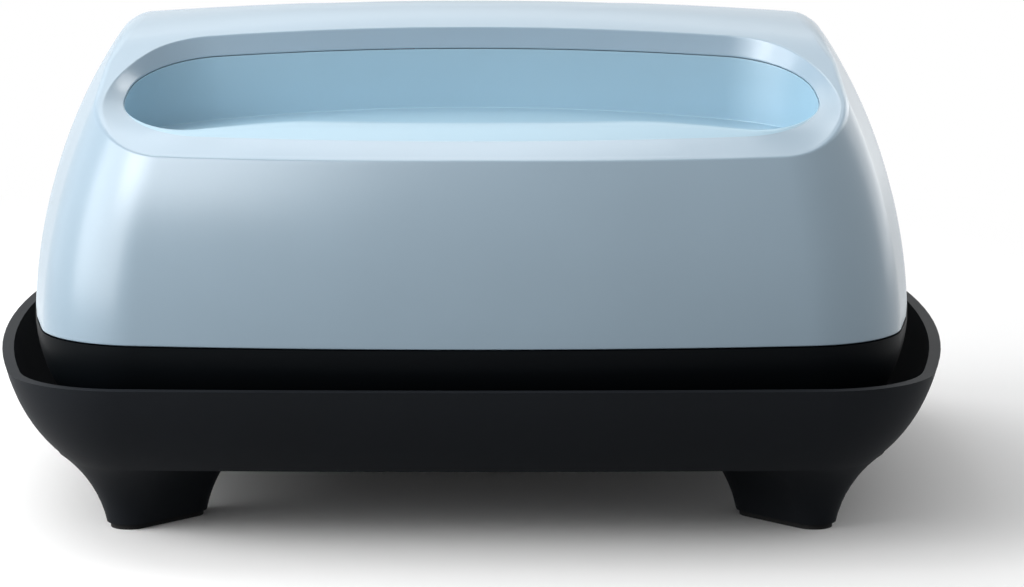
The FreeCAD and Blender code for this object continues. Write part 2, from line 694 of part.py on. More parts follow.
def wall_wire(height, inset):
    """The press's plan at a height, on its leaning wall or inside it."""
    radius = size("lean_radius")
    lean = radius - math.sqrt(radius ** 2 - (height - size("lean_centre")) ** 2)
    corner = size("shell_corner_radius") - size("corner_closing") * lean - inset
    return oval(size("shell_half_width") - lean - inset, size("shell_half_depth") - lean - inset,
                size("shell_front_radius"), size("shell_side_radius"), corner, height)


def roof_section(x, inset):
    """Front-to-back outline of the roof at one X: two slopes and the handle bar's crown."""
    rise = size("slope_y")
    tilt = math.radians(size("slope_angle"))
    radius = size("rim_back_radius")
    uphill = size("rim_back") - radius + math.sqrt(radius ** 2 - x ** 2)
    lower = inset / math.cos(tilt)
    crease_y = rise - uphill * math.cos(tilt)
    crease_z = size("slope_z") + uphill * math.sin(tilt)
    crown = size("crest_height") - x ** 2 / (2 * size("crest_radius")) - inset
    far = size("shell_half_width")
    far_z = crease_z - (far - crease_y) * math.tan(tilt) - lower
    low = size("shell_bottom") - 2 * size("cut_over")
    front = Vector(x, -crease_y, crease_z - lower)
    rear = Vector(x, crease_y, crease_z - lower)
    ends = [Vector(x, -far, low), Vector(x, -far, far_z), front]
    mirror_ends = [rear, Vector(x, far, far_z), Vector(x, far, low)]
    return Part.Wire([
        Part.makeLine(ends[0], ends[1]),
        Part.makeLine(ends[1], ends[2]),
        Part.Arc(front, Vector(x, 0, crown), rear).toShape(),
        Part.makeLine(mirror_ends[0], mirror_ends[1]),
        Part.makeLine(mirror_ends[1], mirror_ends[2]),
        Part.makeLine(mirror_ends[2], ends[0]),
    ])


def press_form(inset, low):
    """The press's outer form, or the same form moved in, from a height upwards."""
    high = size("crest_height") + size("cut_over") - inset
    walls = Part.makeLoft([wall_wire(z, inset) for z in spread(low, high, 8)], True)
    reach = size("shell_half_width")
    roof = Part.makeLoft([roof_section(x, inset) for x in spread(-reach, reach, 7)], True)
    return walls.common(roof)


def round_shoulders(form):
    """Round the sharp edges between the press's walls and its roof."""
    sharp = []
    for edge in form.Edges:
        middle = edge.valueAt((edge.FirstParameter + edge.LastParameter) / 2)
        normals = []
        for face in form.ancestorsOfType(edge, Part.Face):
            normals.append(face.normalAt(*face.Surface.parameter(middle)))
        folded = len(normals) == 2 and normals[0].getAngle(normals[1]) > SHARP
        if folded and middle.z > size("gland_height"):
            sharp.append(edge)
    return form.makeFillet(size("shoulder_radius"), sharp)


def mouth_wire(grow, height=0.0):
    """The mouth's outline, moved outwards, in its own plane."""
    return outline(size("mouth_half_width") + grow, size("mouth_front") + grow,
                   size("mouth_back") + grow, size("mouth_side_at"),
                   size("mouth_front_radius") + grow, size("mouth_low_corner") + grow,
                   size("mouth_side_radius") + grow, size("mouth_high_corner") + grow,
                   size("mouth_back_radius") + grow, height)


def rim_wire():
    """The dished rim's outline in the slope's plane."""
    return outline(size("rim_half_width"), size("rim_front"), size("rim_back"),
                   size("rim_side_at"), size("rim_front_radius"), size("rim_low_corner"),
                   size("rim_side_radius"), size("rim_high_corner"), size("rim_back_radius"))


def placed(shape, frame):
    """A copy of a shape, moved into a frame."""
    moved = shape.copy()
    moved.Placement = frame.multiply(moved.Placement)
    return moved


def dish_tool():
    """The space over the dished rim: a ruled band from the mouth to the rim, and what is above."""
    low = placed(mouth_wire(0), mouth_frame())
    rim = placed(rim_wire(), slope_frame())
    high = rim.copy()
    high.translate(UP * size("tool_reach"))
    return Part.makeLoft([low, rim, high], True, True)


def both_ways(shape):
    """A front shape and its mirror image behind."""
    return [shape, shape.mirror(MIDDLE, BACK)]


def boss_places():
    """Places of the shell's and skirt's screw bosses, on the inner deck's top."""
    side = [(size("boss_side_x"), size("boss_side_y")), (size("boss_front_x"), size("boss_front_y"))]
    return [(i * x, j * y) for x, y in side for i, j in CORNERS]


def rib_box(x, y, low, high):
    """A rib from a boss straight out to the nearer wall."""
    thick = size("rib_thickness")
    rib = Part.makeBox(size("rib_reach"), thick, high - low, Vector(0, -thick / 2, 0))
    if abs(x) > abs(y):
        turn = 0 if x > 0 else 180
    else:
        turn = 90 if y > 0 else -90
    rib.Placement = Placement(Vector(x, y, low), Rotation(UP, turn))
    return rib


def panel_seat(grow, low, high):
    """A rounded block of the control panel's outline, in the panel's frame."""
    width = size("bezel_width") + 2 * grow
    depth = size("bezel_depth") + 2 * grow
    box = Part.makeBox(width, depth, high - low, Vector(-width / 2, -depth / 2, low))
    upright = [edge for edge in box.Edges if abs(edge.Vertexes[0].Z - edge.Vertexes[-1].Z) > 0.1]
    return placed(box.makeFillet(size("bezel_corner") + grow, upright), panel_frame())


def gland_frame():
    """Frame of the cord gland: local Z points backwards, out of the shell, at the pad's face."""
    low = size("gland_height") - size("gland_pad")
    near = size("gland_x") - size("gland_pad")
    line = Part.makeLine(Vector(near, 0, low), Vector(near, 2 * size("shell_half_width"), low))
    face_y = line.distToShape(wall_wire(low, 0))[1][0][0].y
    return Placement(Vector(size("gland_x"), face_y, size("gland_height")), Rotation(RIGHT, -90))


def liner_screw_places():
    """Screw places under the front liner's flange, with local Z pointing up into the shell."""
    grow = size("flange_width") / 2
    wire = mouth_wire(grow)
    sink = size("collar_depth") + size("seat_clearance") + size("flange_thickness")
    places = []
    for wanted in (Vector(size("liner_screw_x"), -size("mouth_front"), 0),
                   Vector(size("mouth_half_width"), -size("mouth_side_at"), 0),
                   Vector(size("liner_screw_x"), size("mouth_back"), 0)):
        spot = Part.Vertex(wanted).distToShape(wire)[1][0][1]
        places.append(at(mouth_frame(), spot.x, spot.y, -sink))
        places.append(at(mouth_frame(), -spot.x, spot.y, -sink))
    return places


def behind(place):
    """The mirror image, behind the handle bar, of a place that is tilted about the X axis."""
    base = Vector(place.Base.x, -place.Base.y, place.Base.z)
    return Placement(base, place.Rotation.inverted())


def make_shell():
    wall = size("shell_wall")
    low = size("shell_bottom")
    outside = press_form(0, low)
    inside = press_form(wall, low - size("cut_over"))
    outside = round_shoulders(outside.Solids[0])
    shell = outside.cut(inside)
    reach = size("tool_reach")
    for collar in both_ways(placed(prism(mouth_wire(size("collar_width")),
                                         -size("collar_depth"), reach), mouth_frame())):
        shell = shell.fuse(collar.common(outside))
    seat = panel_seat(size("panel_ledge"), -size("seat_depth"), size("cut_over")).common(outside)
    shell = shell.fuse(seat)
    bosses = []
    start = size("deck_top")
    for x, y in boss_places():
        boss = Part.makeCylinder(size("boss_radius"), size("boss_top") - start, Vector(x, y, start))
        rib = rib_box(x, y, start + size("rib_lift"), size("boss_top"))
        bosses.append(boss.fuse(rib).common(outside))
    frame = gland_frame()
    bosses.append(hole(frame, size("gland_pad"), size("gland_pad_thickness"),
                       -size("gland_pad_thickness")))
    shell = shell.fuse(bosses)
    cuts = both_ways(dish_tool())
    cuts += both_ways(placed(prism(mouth_wire(0), -reach, reach), mouth_frame()))
    gap = size("panel_clearance")
    cuts.append(panel_seat(gap, -size("bezel_thickness"), size("cut_over")))
    under_seat = -size("seat_depth") - size("cut_over")
    cuts.append(panel_seat(-size("panel_ledge"), under_seat, size("cut_over")))
    drill = size("screw_radius") + size("screw_clearance")
    for x, y in boss_places():
        depth = size("thread_bite") + size("screw_clearance")
        cuts.append(Part.makeCylinder(drill, depth, Vector(x, y, start)))
    small = size("small_screw_radius") + size("screw_clearance")
    for place in liner_screw_places():
        depth = size("flange_thickness") + size("seat_clearance") + size("small_bite")
        cuts += both_ways(hole(place, small, depth + size("screw_clearance")))
    cuts.append(hole(frame, size("gland_hole"), size("gland_pad_thickness"),
                     -size("gland_pad_thickness")))
    solid_feature("upper_shell", shell.cut(cuts))


def make_liners():
    """The front finger pocket's liner and its mirror image behind the handle bar."""
    gap = size("parting_gap")
    wall = size("liner_wall")
    deep = size("tool_reach")
    inset = gap + wall
    body = prism(mouth_wire(-gap), -deep, deep)
    flange_top = -size("collar_depth") - size("seat_clearance")
    flange = prism(mouth_wire(size("flange_width")), flange_top - size("flange_thickness"),
                   size("flange_thickness"))
    lip = size("lip_width")
    well = outline(size("mouth_half_width") - inset, size("mouth_front") - lip,
                   size("mouth_back") - inset, size("mouth_side_at"),
                   size("mouth_front_radius"), size("mouth_low_corner") - lip,
                   size("mouth_side_radius") - inset, size("mouth_high_corner") - inset,
                   size("mouth_back_radius") - inset)
    well = placed(prism(well, -deep, 2 * deep), mouth_frame())
    big = 3 * size("mouth_half_width")
    over_floor = Part.makeBox(big, big, deep, Vector(-big / 2, -big, size("liner_floor")))
    base = size("liner_floor") - size("liner_wall")
    over_base = Part.makeBox(big, big, deep, Vector(-big / 2, -big, base))
    liner = placed(body.fuse(flange), mouth_frame()).common(over_base)
    liner = liner.cut(well.common(over_floor))
    small = size("small_screw_radius") + 2 * size("screw_clearance")
    for place in liner_screw_places():
        liner = liner.cut(hole(place, small, size("flange_thickness")))
    front, rear = both_ways(liner)
    solid_feature("front_liner", front)
    solid_feature("rear_liner", rear)
    places = liner_screw_places()
    places += [behind(place) for place in liner_screw_places()]
    screws("liner_screws", places, "small", "flange_thickness + seat_clearance + small_bite")


# Skirt and hot end

def skirt_wire(height, inset):
    """The skirt's plan at a height, on its curved profile or inside it."""
    radius = size("skirt_radius")
    drop = size("skirt_centre") - height
    reach = math.sqrt((radius - inset) ** 2 - drop ** 2)
    lean = radius - reach
    return oval(size("shell_half_width") - lean, size("shell_half_depth") - lean,
                size("shell_front_radius"), size("shell_side_radius"),
                size("shell_corner_radius") - lean, height)


def shield_places():
    """Screw places of the heat shield, on its top, along the skirt's inside."""
    x = size("boss_side_x")
    y = size("boss_front_y")
    spots = [(i * x, j * size("shield_boss_y")) for i, j in CORNERS]
    spots += [(0, y), (0, -y)]
    top = size("shield_height") + size("shield_sheet")
    return [flipped(WORLD, sx, sy, top) for sx, sy in spots]


def post_places():
    spots = [(size("post_x"), size("post_y")), (size("post_middle_x"), size("post_middle_y"))]
    return [(i * x, j * y) for x, y in spots for i, j in CORNERS]


def make_skirt():
    low = size("skirt_bottom")
    high = size("shell_bottom") - size("skirt_top_gap")
    flange_top = low + size("skirt_wall")
    outside = Part.makeLoft([skirt_wire(z, 0) for z in spread(low, high, 6)], True)
    heights = spread(flange_top, high, 5) + [high + size("cut_over")]
    inside = Part.makeLoft([skirt_wire(min(z, high), size("skirt_wall")) if z <= high
                            else lifted(skirt_wire(high, size("skirt_wall")), z - high)
                            for z in heights], True)
    width = size("skirt_opening")
    edge = skirt_wire(low, 0).BoundBox
    opening = oval(edge.XMax - width, edge.YMax - width, size("shell_front_radius") - width,
                   size("shell_side_radius") - width, size("plate_corner") - width / 2,
                   low - size("cut_over"))
    skirt = outside.cut([inside, prism(opening, 0, flange_top - low + 2 * size("cut_over"))])
    bosses = []
    for x, y in boss_places():
        bosses.append(Part.makeCylinder(size("boss_radius"), size("deck_underside") - low,
                                        Vector(x, y, low)))
    for place in shield_places():
        bosses.append(Part.makeCylinder(size("shield_boss_radius"), size("shield_height") - low,
                                        Vector(place.Base.x, place.Base.y, low)))
    skirt = skirt.fuse([boss.common(outside) if boss.BoundBox.ZMax < high else boss
                        for boss in bosses])
    cuts = []
    head = size("screw_head_radius") + size("screw_clearance")
    drill = size("screw_radius") + size("screw_clearance")
    for x, y in boss_places():
        cuts.append(Part.makeCylinder(head, size("screw_head") + size("skirt_wall"),
                                      Vector(x, y, low)))
        cuts.append(Part.makeCylinder(drill, size("deck_underside") - low, Vector(x, y, low)))
    for place in shield_places():
        cuts.append(hole(place, drill, size("thread_bite") + size("screw_clearance")
                         + size("shield_sheet")))
    solid_feature("skirt", skirt.cut(cuts))
    top = low + size("screw_head") + size("skirt_wall")
    places = [at(WORLD, x, y, top) for x, y in boss_places()]
    screws("shell_screws", places, "large",
           "deck_underside + deck_thickness + thread_bite - skirt_bottom - screw_head - skirt_wall")


def lifted(wire, distance):
    moved = wire.copy()
    moved.translate(UP * distance)
    return moved


def loop_path(half_x, half_y, end_x, height):
    """A heating element's path: a rounded loop whose two ends turn up as terminals."""
    bend = size("element_bend")
    foot = size("terminal_bend")
    knee = height + foot
    top = size("terminal_top")
    k = math.sqrt(0.5)
    right = [
        ("line", Vector(end_x, half_y, top), Vector(end_x, half_y, knee)),
        ("arc", Vector(end_x, half_y, knee),
         Vector(end_x + foot - foot * k, half_y, knee - foot * k),
         Vector(end_x + foot, half_y, height)),
        ("line", Vector(end_x + foot, half_y, height), Vector(half_x - bend, half_y, height)),
        ("arc", Vector(half_x - bend, half_y, height),
         Vector(half_x - bend + bend * k, half_y - bend + bend * k, height),
         Vector(half_x, half_y - bend, height)),
        ("line", Vector(half_x, half_y - bend, height), Vector(half_x, bend - half_y, height)),
        ("arc", Vector(half_x, bend - half_y, height),
         Vector(half_x - bend + bend * k, bend - half_y - bend * k, height),
         Vector(half_x - bend, -half_y, height)),
    ]
    pieces = right + [("line", Vector(half_x - bend, -half_y, height),
                       Vector(bend - half_x, -half_y, height))]
    for kind, *points in reversed(right):
        pieces.append((kind, *[mirrored(point) for point in reversed(points)]))
    edges = []
    for kind, *points in pieces:
        if kind == "line":
            edges.append(Part.makeLine(*points))
        else:
            edges.append(Part.Arc(*points).toShape())
    return Part.Wire(edges)


def tube(path, radius):
    """A round tube along a path of tangent lines and arcs."""
    start = path.OrderedEdges[0]
    at_start = start.valueAt(start.FirstParameter)
    direction = start.tangentAt(start.FirstParameter)
    ring = Part.Wire(Part.makeCircle(radius, at_start, direction))
    return path.makePipeShell([ring], True, False)


def element_paths():
    height = size("plate_top")
    return [
        loop_path(size("outer_loop_x"), size("outer_loop_y"), size("outer_spread"), height),
        loop_path(size("inner_loop_x"), size("inner_loop_y"), size("inner_spread"), height),
    ]


def terminal_spots():
    """Where the elements' terminals stand, in plan."""
    outer = [(side * size("outer_spread"), size("outer_loop_y")) for side in (-1, 1)]
    inner = [(side * size("inner_spread"), size("inner_loop_y")) for side in (-1, 1)]
    return outer + inner


def sensor_spots():
    """The temperature sensor and the thermal cut-out, in plan: radius, X and Y."""
    return [(size("sensor_radius"), 0, 0), (size("cutout_radius"), -size("cutout_x"), 0)]


def make_hot_end():
    base = size("plate_height")
    thick = size("plate_thickness")
    top = size("plate_top")
    wire = oval(size("plate_half_width"), size("plate_half_depth"), size("shell_front_radius"),
                size("shell_side_radius"), size("plate_corner"), base)
    plate = prism(wire, 0, thick)
    grooves = [tube(path, size("element_radius") + size("element_clearance"))
               for path in element_paths()]
    plate = plate.cut(grooves)
    drill = size("screw_radius") + size("screw_clearance")
    bite = size("plate_bite")
    plate = plate.cut([Part.makeCylinder(drill, bite + size("screw_clearance"),
                                         Vector(x, y, top - bite - size("screw_clearance")))
                       for x, y in post_places()])
    solid_feature("heat_plate", plate)
    outer, inner = [tube(path, size("element_radius")) for path in element_paths()]
    solid_feature("outer_heating_element", outer)
    solid_feature("inner_heating_element", inner)
    posts = []
    for x, y in post_places():
        post = Part.makeCylinder(size("post_radius"), size("shield_height") - top, Vector(x, y, top))
        bore = Part.makeCylinder(drill, size("shield_height") - top, Vector(x, y, top))
        posts.append(post.cut(bore))
    solid_feature("plate_standoffs", Part.makeCompound(posts))
    shield_top = size("shield_height") + size("shield_sheet")
    places = [flipped(WORLD, x, y, shield_top) for x, y in post_places()]
    screws("plate_screws", places, "large",
           "shield_lift + shield_sheet + plate_bite")


def make_insulation():
    """The blanket and the heat shield over the plate, with room for the terminals."""
    sheet_z = size("shield_height")
    body = doc.addObject("PartDesign::Body", "insulation_blanket")
    sketch = new_sketch(body, "blanket_outline")
    rectangle(sketch, "2 * blanket_half_width", "2 * blanket_half_depth")
    feature = pad(body, sketch, "blanket_top - blanket_base")
    round_upright_edges(body, feature, "blanket_corner")
    holes = new_sketch(body, "blanket_holes", "blanket_top - blanket_base")
    circles(holes, terminal_spots(), "element_radius + terminal_bend")
    for radius, x, y in sensor_spots():
        circles(holes, [(x, y)], "%g + seat_clearance" % radius)
    pocket(body, holes, "2 * blanket_top")
    body.Placement = at(WORLD, 0, 0, size("blanket_base"))
    subpart(body, "insulation_blanket")
    inset = size("shield_inset")
    edge = skirt_wire(size("skirt_bottom"), 0).BoundBox
    wire = oval(edge.XMax - inset, edge.YMax - inset, size("shell_front_radius") - inset,
                size("shell_side_radius") - inset, size("plate_corner") - inset / 2, sheet_z)
    shield = prism(wire, 0, size("shield_sheet"))
    cuts = []
    drill = size("screw_radius") + 2 * size("screw_clearance")
    thick = size("shield_sheet")
    for x, y in post_places():
        cuts.append(Part.makeCylinder(drill, thick, Vector(x, y, sheet_z)))
    for place in shield_places():
        cuts.append(Part.makeCylinder(drill, thick, Vector(place.Base.x, place.Base.y, sheet_z)))
    for x, y in boss_places():
        round_it = size("boss_radius") + size("seat_clearance")
        cuts.append(Part.makeCylinder(round_it, thick, Vector(x, y, sheet_z)))
    for x, y in terminal_spots():
        wide = size("element_radius") + size("terminal_bend") / 2
        cuts.append(Part.makeCylinder(wide, thick, Vector(x, y, sheet_z)))
    for radius, x, y in sensor_spots():
        rim = radius - size("sensor_rim")
        cuts.append(Part.makeCylinder(rim, thick, Vector(x, y, sheet_z)))
    solid_feature("heat_shield", shield.cut(cuts))
    screws("shield_screws", shield_places(), "large", "shield_sheet + thread_bite")
    for label, radius, (_, x, y) in zip(("temperature_sensor", "thermal_cutout"),
                                        ("sensor_radius", "cutout_radius"), sensor_spots()):
        place = at(WORLD, x, y, size("plate_top"))
        subpart(cylinder(label, radius, "shield_lift", place), label)


# Inner deck and power electronics

def board_post_places():
    x = size("power_board_width") / 2 - size("board_post_inset")
    y = size("power_board_depth") / 2 - size("board_post_inset")
    return [(i * x, j * y) for i, j in CORNERS]


def make_deck():
    inset = size("deck_inset")
    wire = oval(size("shell_half_width") - inset, size("shell_half_depth") - inset,
                size("shell_front_radius") - inset, size("shell_side_radius") - inset,
                size("shell_corner_radius") - inset, size("deck_underside"))
    deck = prism(wire, 0, size("deck_thickness"))
    drill = size("screw_radius") + 2 * size("screw_clearance")
    cuts = [Part.makeCylinder(drill, size("deck_thickness"), Vector(x, y, size("deck_underside")))
            for x, y in boss_places()]
    drill = size("screw_radius") + size("screw_clearance")
    cuts += [Part.makeCylinder(drill, size("deck_thickness"), Vector(x, y, size("deck_underside")))
             for x, y in board_post_places()]
    drill = size("small_screw_radius") + size("screw_clearance")
    cuts += [hole(place, drill, size("clamp_height") + size("deck_thickness"))
             for place in clamp_places()]
    wide = size("element_radius") + size("terminal_bend") / 2
    spots = terminal_spots() + [(x, y) for _, x, y in sensor_spots()]
    cuts += [Part.makeCylinder(wide, size("deck_thickness"), Vector(x, y, size("deck_underside")))
             for x, y in spots]
    solid_feature("inner_deck", deck.cut(cuts))


def make_power():
    posts = []
    for number, (x, y) in enumerate(board_post_places(), start=1):
        outer = cylinder("board_post_%d_outside" % number, "board_post_radius",
                         "power_board_lift", at(WORLD, x, y, size("deck_top")))
        bore = cylinder("board_post_%d_bore" % number, "screw_radius + screw_clearance",
                        "power_board_lift", at(WORLD, x, y, size("deck_top")))
        post = doc.addObject("Part::Cut", "board_post_%d" % number)
        post.Base = outer
        post.Tool = bore
        posts.append(post)
    group("board_standoffs", posts)
    body = doc.addObject("PartDesign::Body", "power_board")
    sketch = new_sketch(body, "power_board_outline")
    rectangle(sketch, "power_board_width", "power_board_depth")
    pad(body, sketch, "board_thickness")
    holes = new_sketch(body, "power_board_holes", "board_thickness")
    circles(holes, board_post_places(), "screw_radius + screw_clearance")
    pocket(body, holes, "2 * board_thickness")
    body.Placement = at(WORLD, 0, 0, size("deck_top") + size("power_board_lift"))
    subpart(body, "power_board")
    places = [flipped(WORLD, x, y, size("board_level")) for x, y in board_post_places()]
    screws("power_board_screws", places, "large",
           "board_thickness + power_board_lift + deck_thickness")
    level = size("board_level")
    aside = size("power_board_width") / 4
    behind_middle = size("power_board_depth") / 4
    relay = block("power_relay", "relay_width", "relay_depth", "relay_height",
                  at(WORLD, aside, -size("relay_depth"), level), "case_corner")
    subpart(relay, "power_relay")
    supply = block("supply_module", "supply_width", "supply_depth", "supply_height",
                   at(WORLD, -aside, -size("relay_depth") / 2, level), "case_corner")
    subpart(supply, "supply_module")
    make_terminal_block(at(WORLD, aside, behind_middle, level))
    make_heat_sink(at(WORLD, -aside, behind_middle, level))


def make_terminal_block(place):
    """The terminal block, with its wire entries along Y."""
    body = block("terminal_block_case", "terminal_width", "terminal_depth", "terminal_height", place)
    tools = []
    for k in (-1, 0, 1):
        entry = place.multiply(Placement(
            Vector(k * size("terminal_width") / 3, -size("terminal_depth"),
                   size("terminal_height") / 2), Rotation(RIGHT, -90)))
        tools.append(cylinder("terminal_entry_%d" % (k + 2), "terminal_hole",
                              "2 * terminal_depth", entry))
    item = doc.addObject("Part::Cut", "terminal_block")
    item.Base = body
    item.Tool = joined("terminal_entries", tools)
    subpart(item, "terminal_block")


def make_heat_sink(place):
    body = doc.addObject("PartDesign::Body", "heat_sink")
    sketch = new_sketch(body, "sink_base_outline")
    rectangle(sketch, "sink_width", "sink_base")
    pad(body, sketch, "sink_height")
    fin = new_sketch(body, "sink_fin_outline")
    rectangle(fin, "sink_fin", "sink_fin_length")
    first = "( sink_fins - 1 ) * sink_pitch / -2"
    fin.setExpression("AttachmentOffset.Base.x", formula(first))
    fin.setExpression("AttachmentOffset.Base.y", formula("sink_base / 2 + sink_fin_length / 2 - sink_root"))
    fin_pad = pad(body, fin, "sink_height")
    row = body.newObject("PartDesign::LinearPattern", "sink_fin_row")
    row.Originals = [fin_pad]
    row.Direction = (fin, ["H_Axis"])
    row.setExpression("Length", formula("( sink_fins - 1 ) * sink_pitch"))
    row.setExpression("Occurrences", formula("sink_fins"))
    body.Tip = row
    body.Placement = place
    subpart(body, "heat_sink")


# Control panel

BUTTONS = ["power_button", "temperature_button", "timer_button",
           "minus_button", "plus_button", "start_button"]


def button_spots():
    first, pitch = size("button_first"), size("button_pitch")
    right = [first + k * pitch for k in range(3)]
    return [-x for x in reversed(right)] + right


def panel_posts():
    return [(i * size("panel_post_x"), j * size("panel_post_y")) for i, j in CORNERS]


def board_face():
    """Height of the control board's upper face in the panel's frame."""
    return -size("bezel_thickness") - size("control_board_gap")


def make_bezel():
    body = doc.addObject("PartDesign::Body", "control_bezel")
    sketch = new_sketch(body, "bezel_outline")
    rectangle(sketch, "bezel_width", "bezel_depth")
    feature = pad(body, sketch, "bezel_thickness", down=True)
    round_upright_edges(body, feature, "bezel_corner")
    posts = new_sketch(body, "bezel_posts", "bezel_thickness * -1")
    circles(posts, panel_posts(), "panel_post_radius")
    pad(body, posts, "control_board_gap", down=True)
    holes = new_sketch(body, "bezel_button_holes")
    circles(holes, [(x, 0) for x in button_spots()], "button_radius + button_clearance")
    pocket(body, holes, "2 * bezel_thickness")
    seat = new_sketch(body, "bezel_window_seat")
    rectangle(seat, "window_width + 2 * window_clearance", "window_depth + 2 * window_clearance")
    pocket(body, seat, "window_thickness")
    window = new_sketch(body, "bezel_window")
    rectangle(window, "window_width - 2 * window_ledge", "window_depth - 2 * window_ledge")
    pocket(body, window, "2 * bezel_thickness")
    threads = new_sketch(body, "bezel_post_bores", "( bezel_thickness + control_board_gap ) * -1")
    circles(threads, panel_posts(), "small_screw_radius + screw_clearance")
    pocket(body, threads, "small_bite + screw_clearance", up=True)
    body.Placement = panel_frame()
    subpart(body, "control_bezel")


def make_controls():
    make_bezel()
    frame = panel_frame()
    window = block("display_window", "window_width", "window_depth", "window_thickness",
                   at(frame, 0, 0, -size("window_thickness")))
    subpart(window, "display_window")
    module = block("display_module", "window_width", "window_depth", "module_thickness",
                   at(frame, 0, 0, board_face()))
    subpart(module, "display_module")
    body = doc.addObject("PartDesign::Body", "control_board")
    sketch = new_sketch(body, "control_board_outline")
    rectangle(sketch, "control_board_width", "control_board_depth")
    pad(body, sketch, "board_thickness", down=True)
    holes = new_sketch(body, "control_board_holes")
    circles(holes, panel_posts(), "small_screw_radius + screw_clearance")
    pocket(body, holes, "2 * board_thickness")
    body.Placement = at(frame, 0, 0, board_face())
    subpart(body, "control_board")
    under = board_face() - size("board_thickness")
    screws("control_board_screws", [at(frame, x, y, under) for x, y in panel_posts()], "small",
           "board_thickness + small_bite")
    subpart(cylinder("buzzer", "buzzer_radius", "buzzer_height",
                     flipped(frame, size("button_first"), 0, under)), "buzzer")
    switches = []
    for number, x in enumerate(button_spots(), start=1):
        switches.append(make_switch(number, frame, x))
    group("tactile_switches", switches)
    for label, x in zip(BUTTONS, button_spots()):
        make_button(label, frame, x)


def make_switch(number, frame, x):
    """A tactile switch: a square case with a bore for the button's stem."""
    name = "switch_%d" % number
    case = doc.addObject("Part::Box", name + "_case")
    bind(case, Length="switch_width", Width="switch_width", Height="switch_height")
    half = size("switch_width") / 2
    case.Placement = at(frame, x - half, -half, board_face())
    depth = size("stem_entry") + 2 * size("button_travel")
    bore = cylinder(name + "_bore", "stem_radius + stem_clearance",
                    "stem_entry + 2 * button_travel",
                    at(frame, x, 0, board_face() + size("switch_height") - depth))
    item = doc.addObject("Part::Cut", name)
    item.Base = case
    item.Tool = bore
    return item


def make_button(label, frame, x):
    """A push button: cap, retaining collar and stem on one axis."""
    body = doc.addObject("PartDesign::Body", label)
    cap = new_sketch(body, label + "_cap", "bezel_thickness * -1")
    circles(cap, [(0, 0)], "button_radius")
    pad(body, cap, "bezel_thickness + button_proud")
    collar = new_sketch(body, label + "_collar", "bezel_thickness * -1")
    circles(collar, [(0, 0)], "button_radius + button_flange")
    pad(body, collar, "button_collar", down=True)
    stem = new_sketch(body, label + "_stem", "( bezel_thickness + button_collar ) * -1")
    circles(stem, [(0, 0)], "stem_radius")
    pad(body, stem, "control_board_gap - button_collar - switch_height + stem_entry", down=True)
    body.Placement = at(frame, x, 0, 0)
    subpart(body, label)


# Cord gland and leads

def make_cord_entry():
    frame = gland_frame()
    thick = "gland_pad_thickness"
    inner = -size("gland_pad_thickness")
    outside = cylinder("gland_outer_flange", "gland_flange", "gland_flange_thickness", frame)
    sleeve = cylinder("gland_sleeve", "gland_hole - screw_clearance",
                      thick + " + gland_nut", at(frame, 0, 0, inner - size("gland_nut")))
    bore = cylinder("gland_bore", "cord_hole", thick + " + gland_nut + gland_flange_thickness",
                    at(frame, 0, 0, inner - size("gland_nut")))
    item = doc.addObject("Part::Cut", "cord_gland")
    item.Base = joined("gland_solid", [outside, sleeve])
    item.Tool = bore
    subpart(item, "cord_gland")
    hexagon = doc.addObject("Part::Prism", "gland_nut_hexagon")
    hexagon.Polygon = 6
    bind(hexagon, Circumradius="gland_flange + gland_flange_thickness", Height="gland_nut")
    hexagon.Placement = at(frame, 0, 0, inner - size("gland_nut"))
    thread = cylinder("gland_nut_thread", "gland_hole", "gland_nut",
                      at(frame, 0, 0, inner - size("gland_nut")))
    nut = doc.addObject("Part::Cut", "gland_nut")
    nut.Base = hexagon
    nut.Tool = thread
    subpart(nut, "gland_nut")


def clamp_places():
    """Screw places of the cord clamp, on its top."""
    middle = clamp_middle()
    x = size("clamp_width") / 2 - size("small_head_radius") - size("clamp_edge")
    top = size("deck_top") + size("clamp_height")
    return [flipped(WORLD, middle.x + side * x, middle.y, top) for side in (-1, 1)]


def clamp_middle():
    """The cord clamp stands on the deck in front of the gland."""
    inner = gland_frame().Base.y - size("gland_pad_thickness") - size("gland_nut")
    return Vector(size("gland_x"), inner - 2 * size("clamp_depth"), size("deck_top"))


def make_cord_clamp():
    middle = clamp_middle()
    case = doc.addObject("Part::Box", "clamp_case")
    bind(case, Length="clamp_width", Width="clamp_depth", Height="clamp_height")
    case.Placement = at(WORLD, middle.x - size("clamp_width") / 2,
                        middle.y - size("clamp_depth") / 2, middle.z)
    channel = Placement(Vector(middle.x, middle.y - size("clamp_depth") / 2, middle.z),
                        Rotation(RIGHT, -90))
    tools = [cylinder("clamp_channel", "cord_hole", "clamp_depth", channel)]
    for number, place in enumerate(clamp_places(), start=1):
        tools.append(cylinder("clamp_bore_%d" % number, "small_screw_radius + screw_clearance",
                              "clamp_height", place))
    item = doc.addObject("Part::Cut", "cord_clamp")
    item.Base = case
    item.Tool = joined("clamp_cuts", tools)
    subpart(item, "cord_clamp")
    screws("cord_clamp_screws", clamp_places(), "small", "clamp_height + deck_thickness")


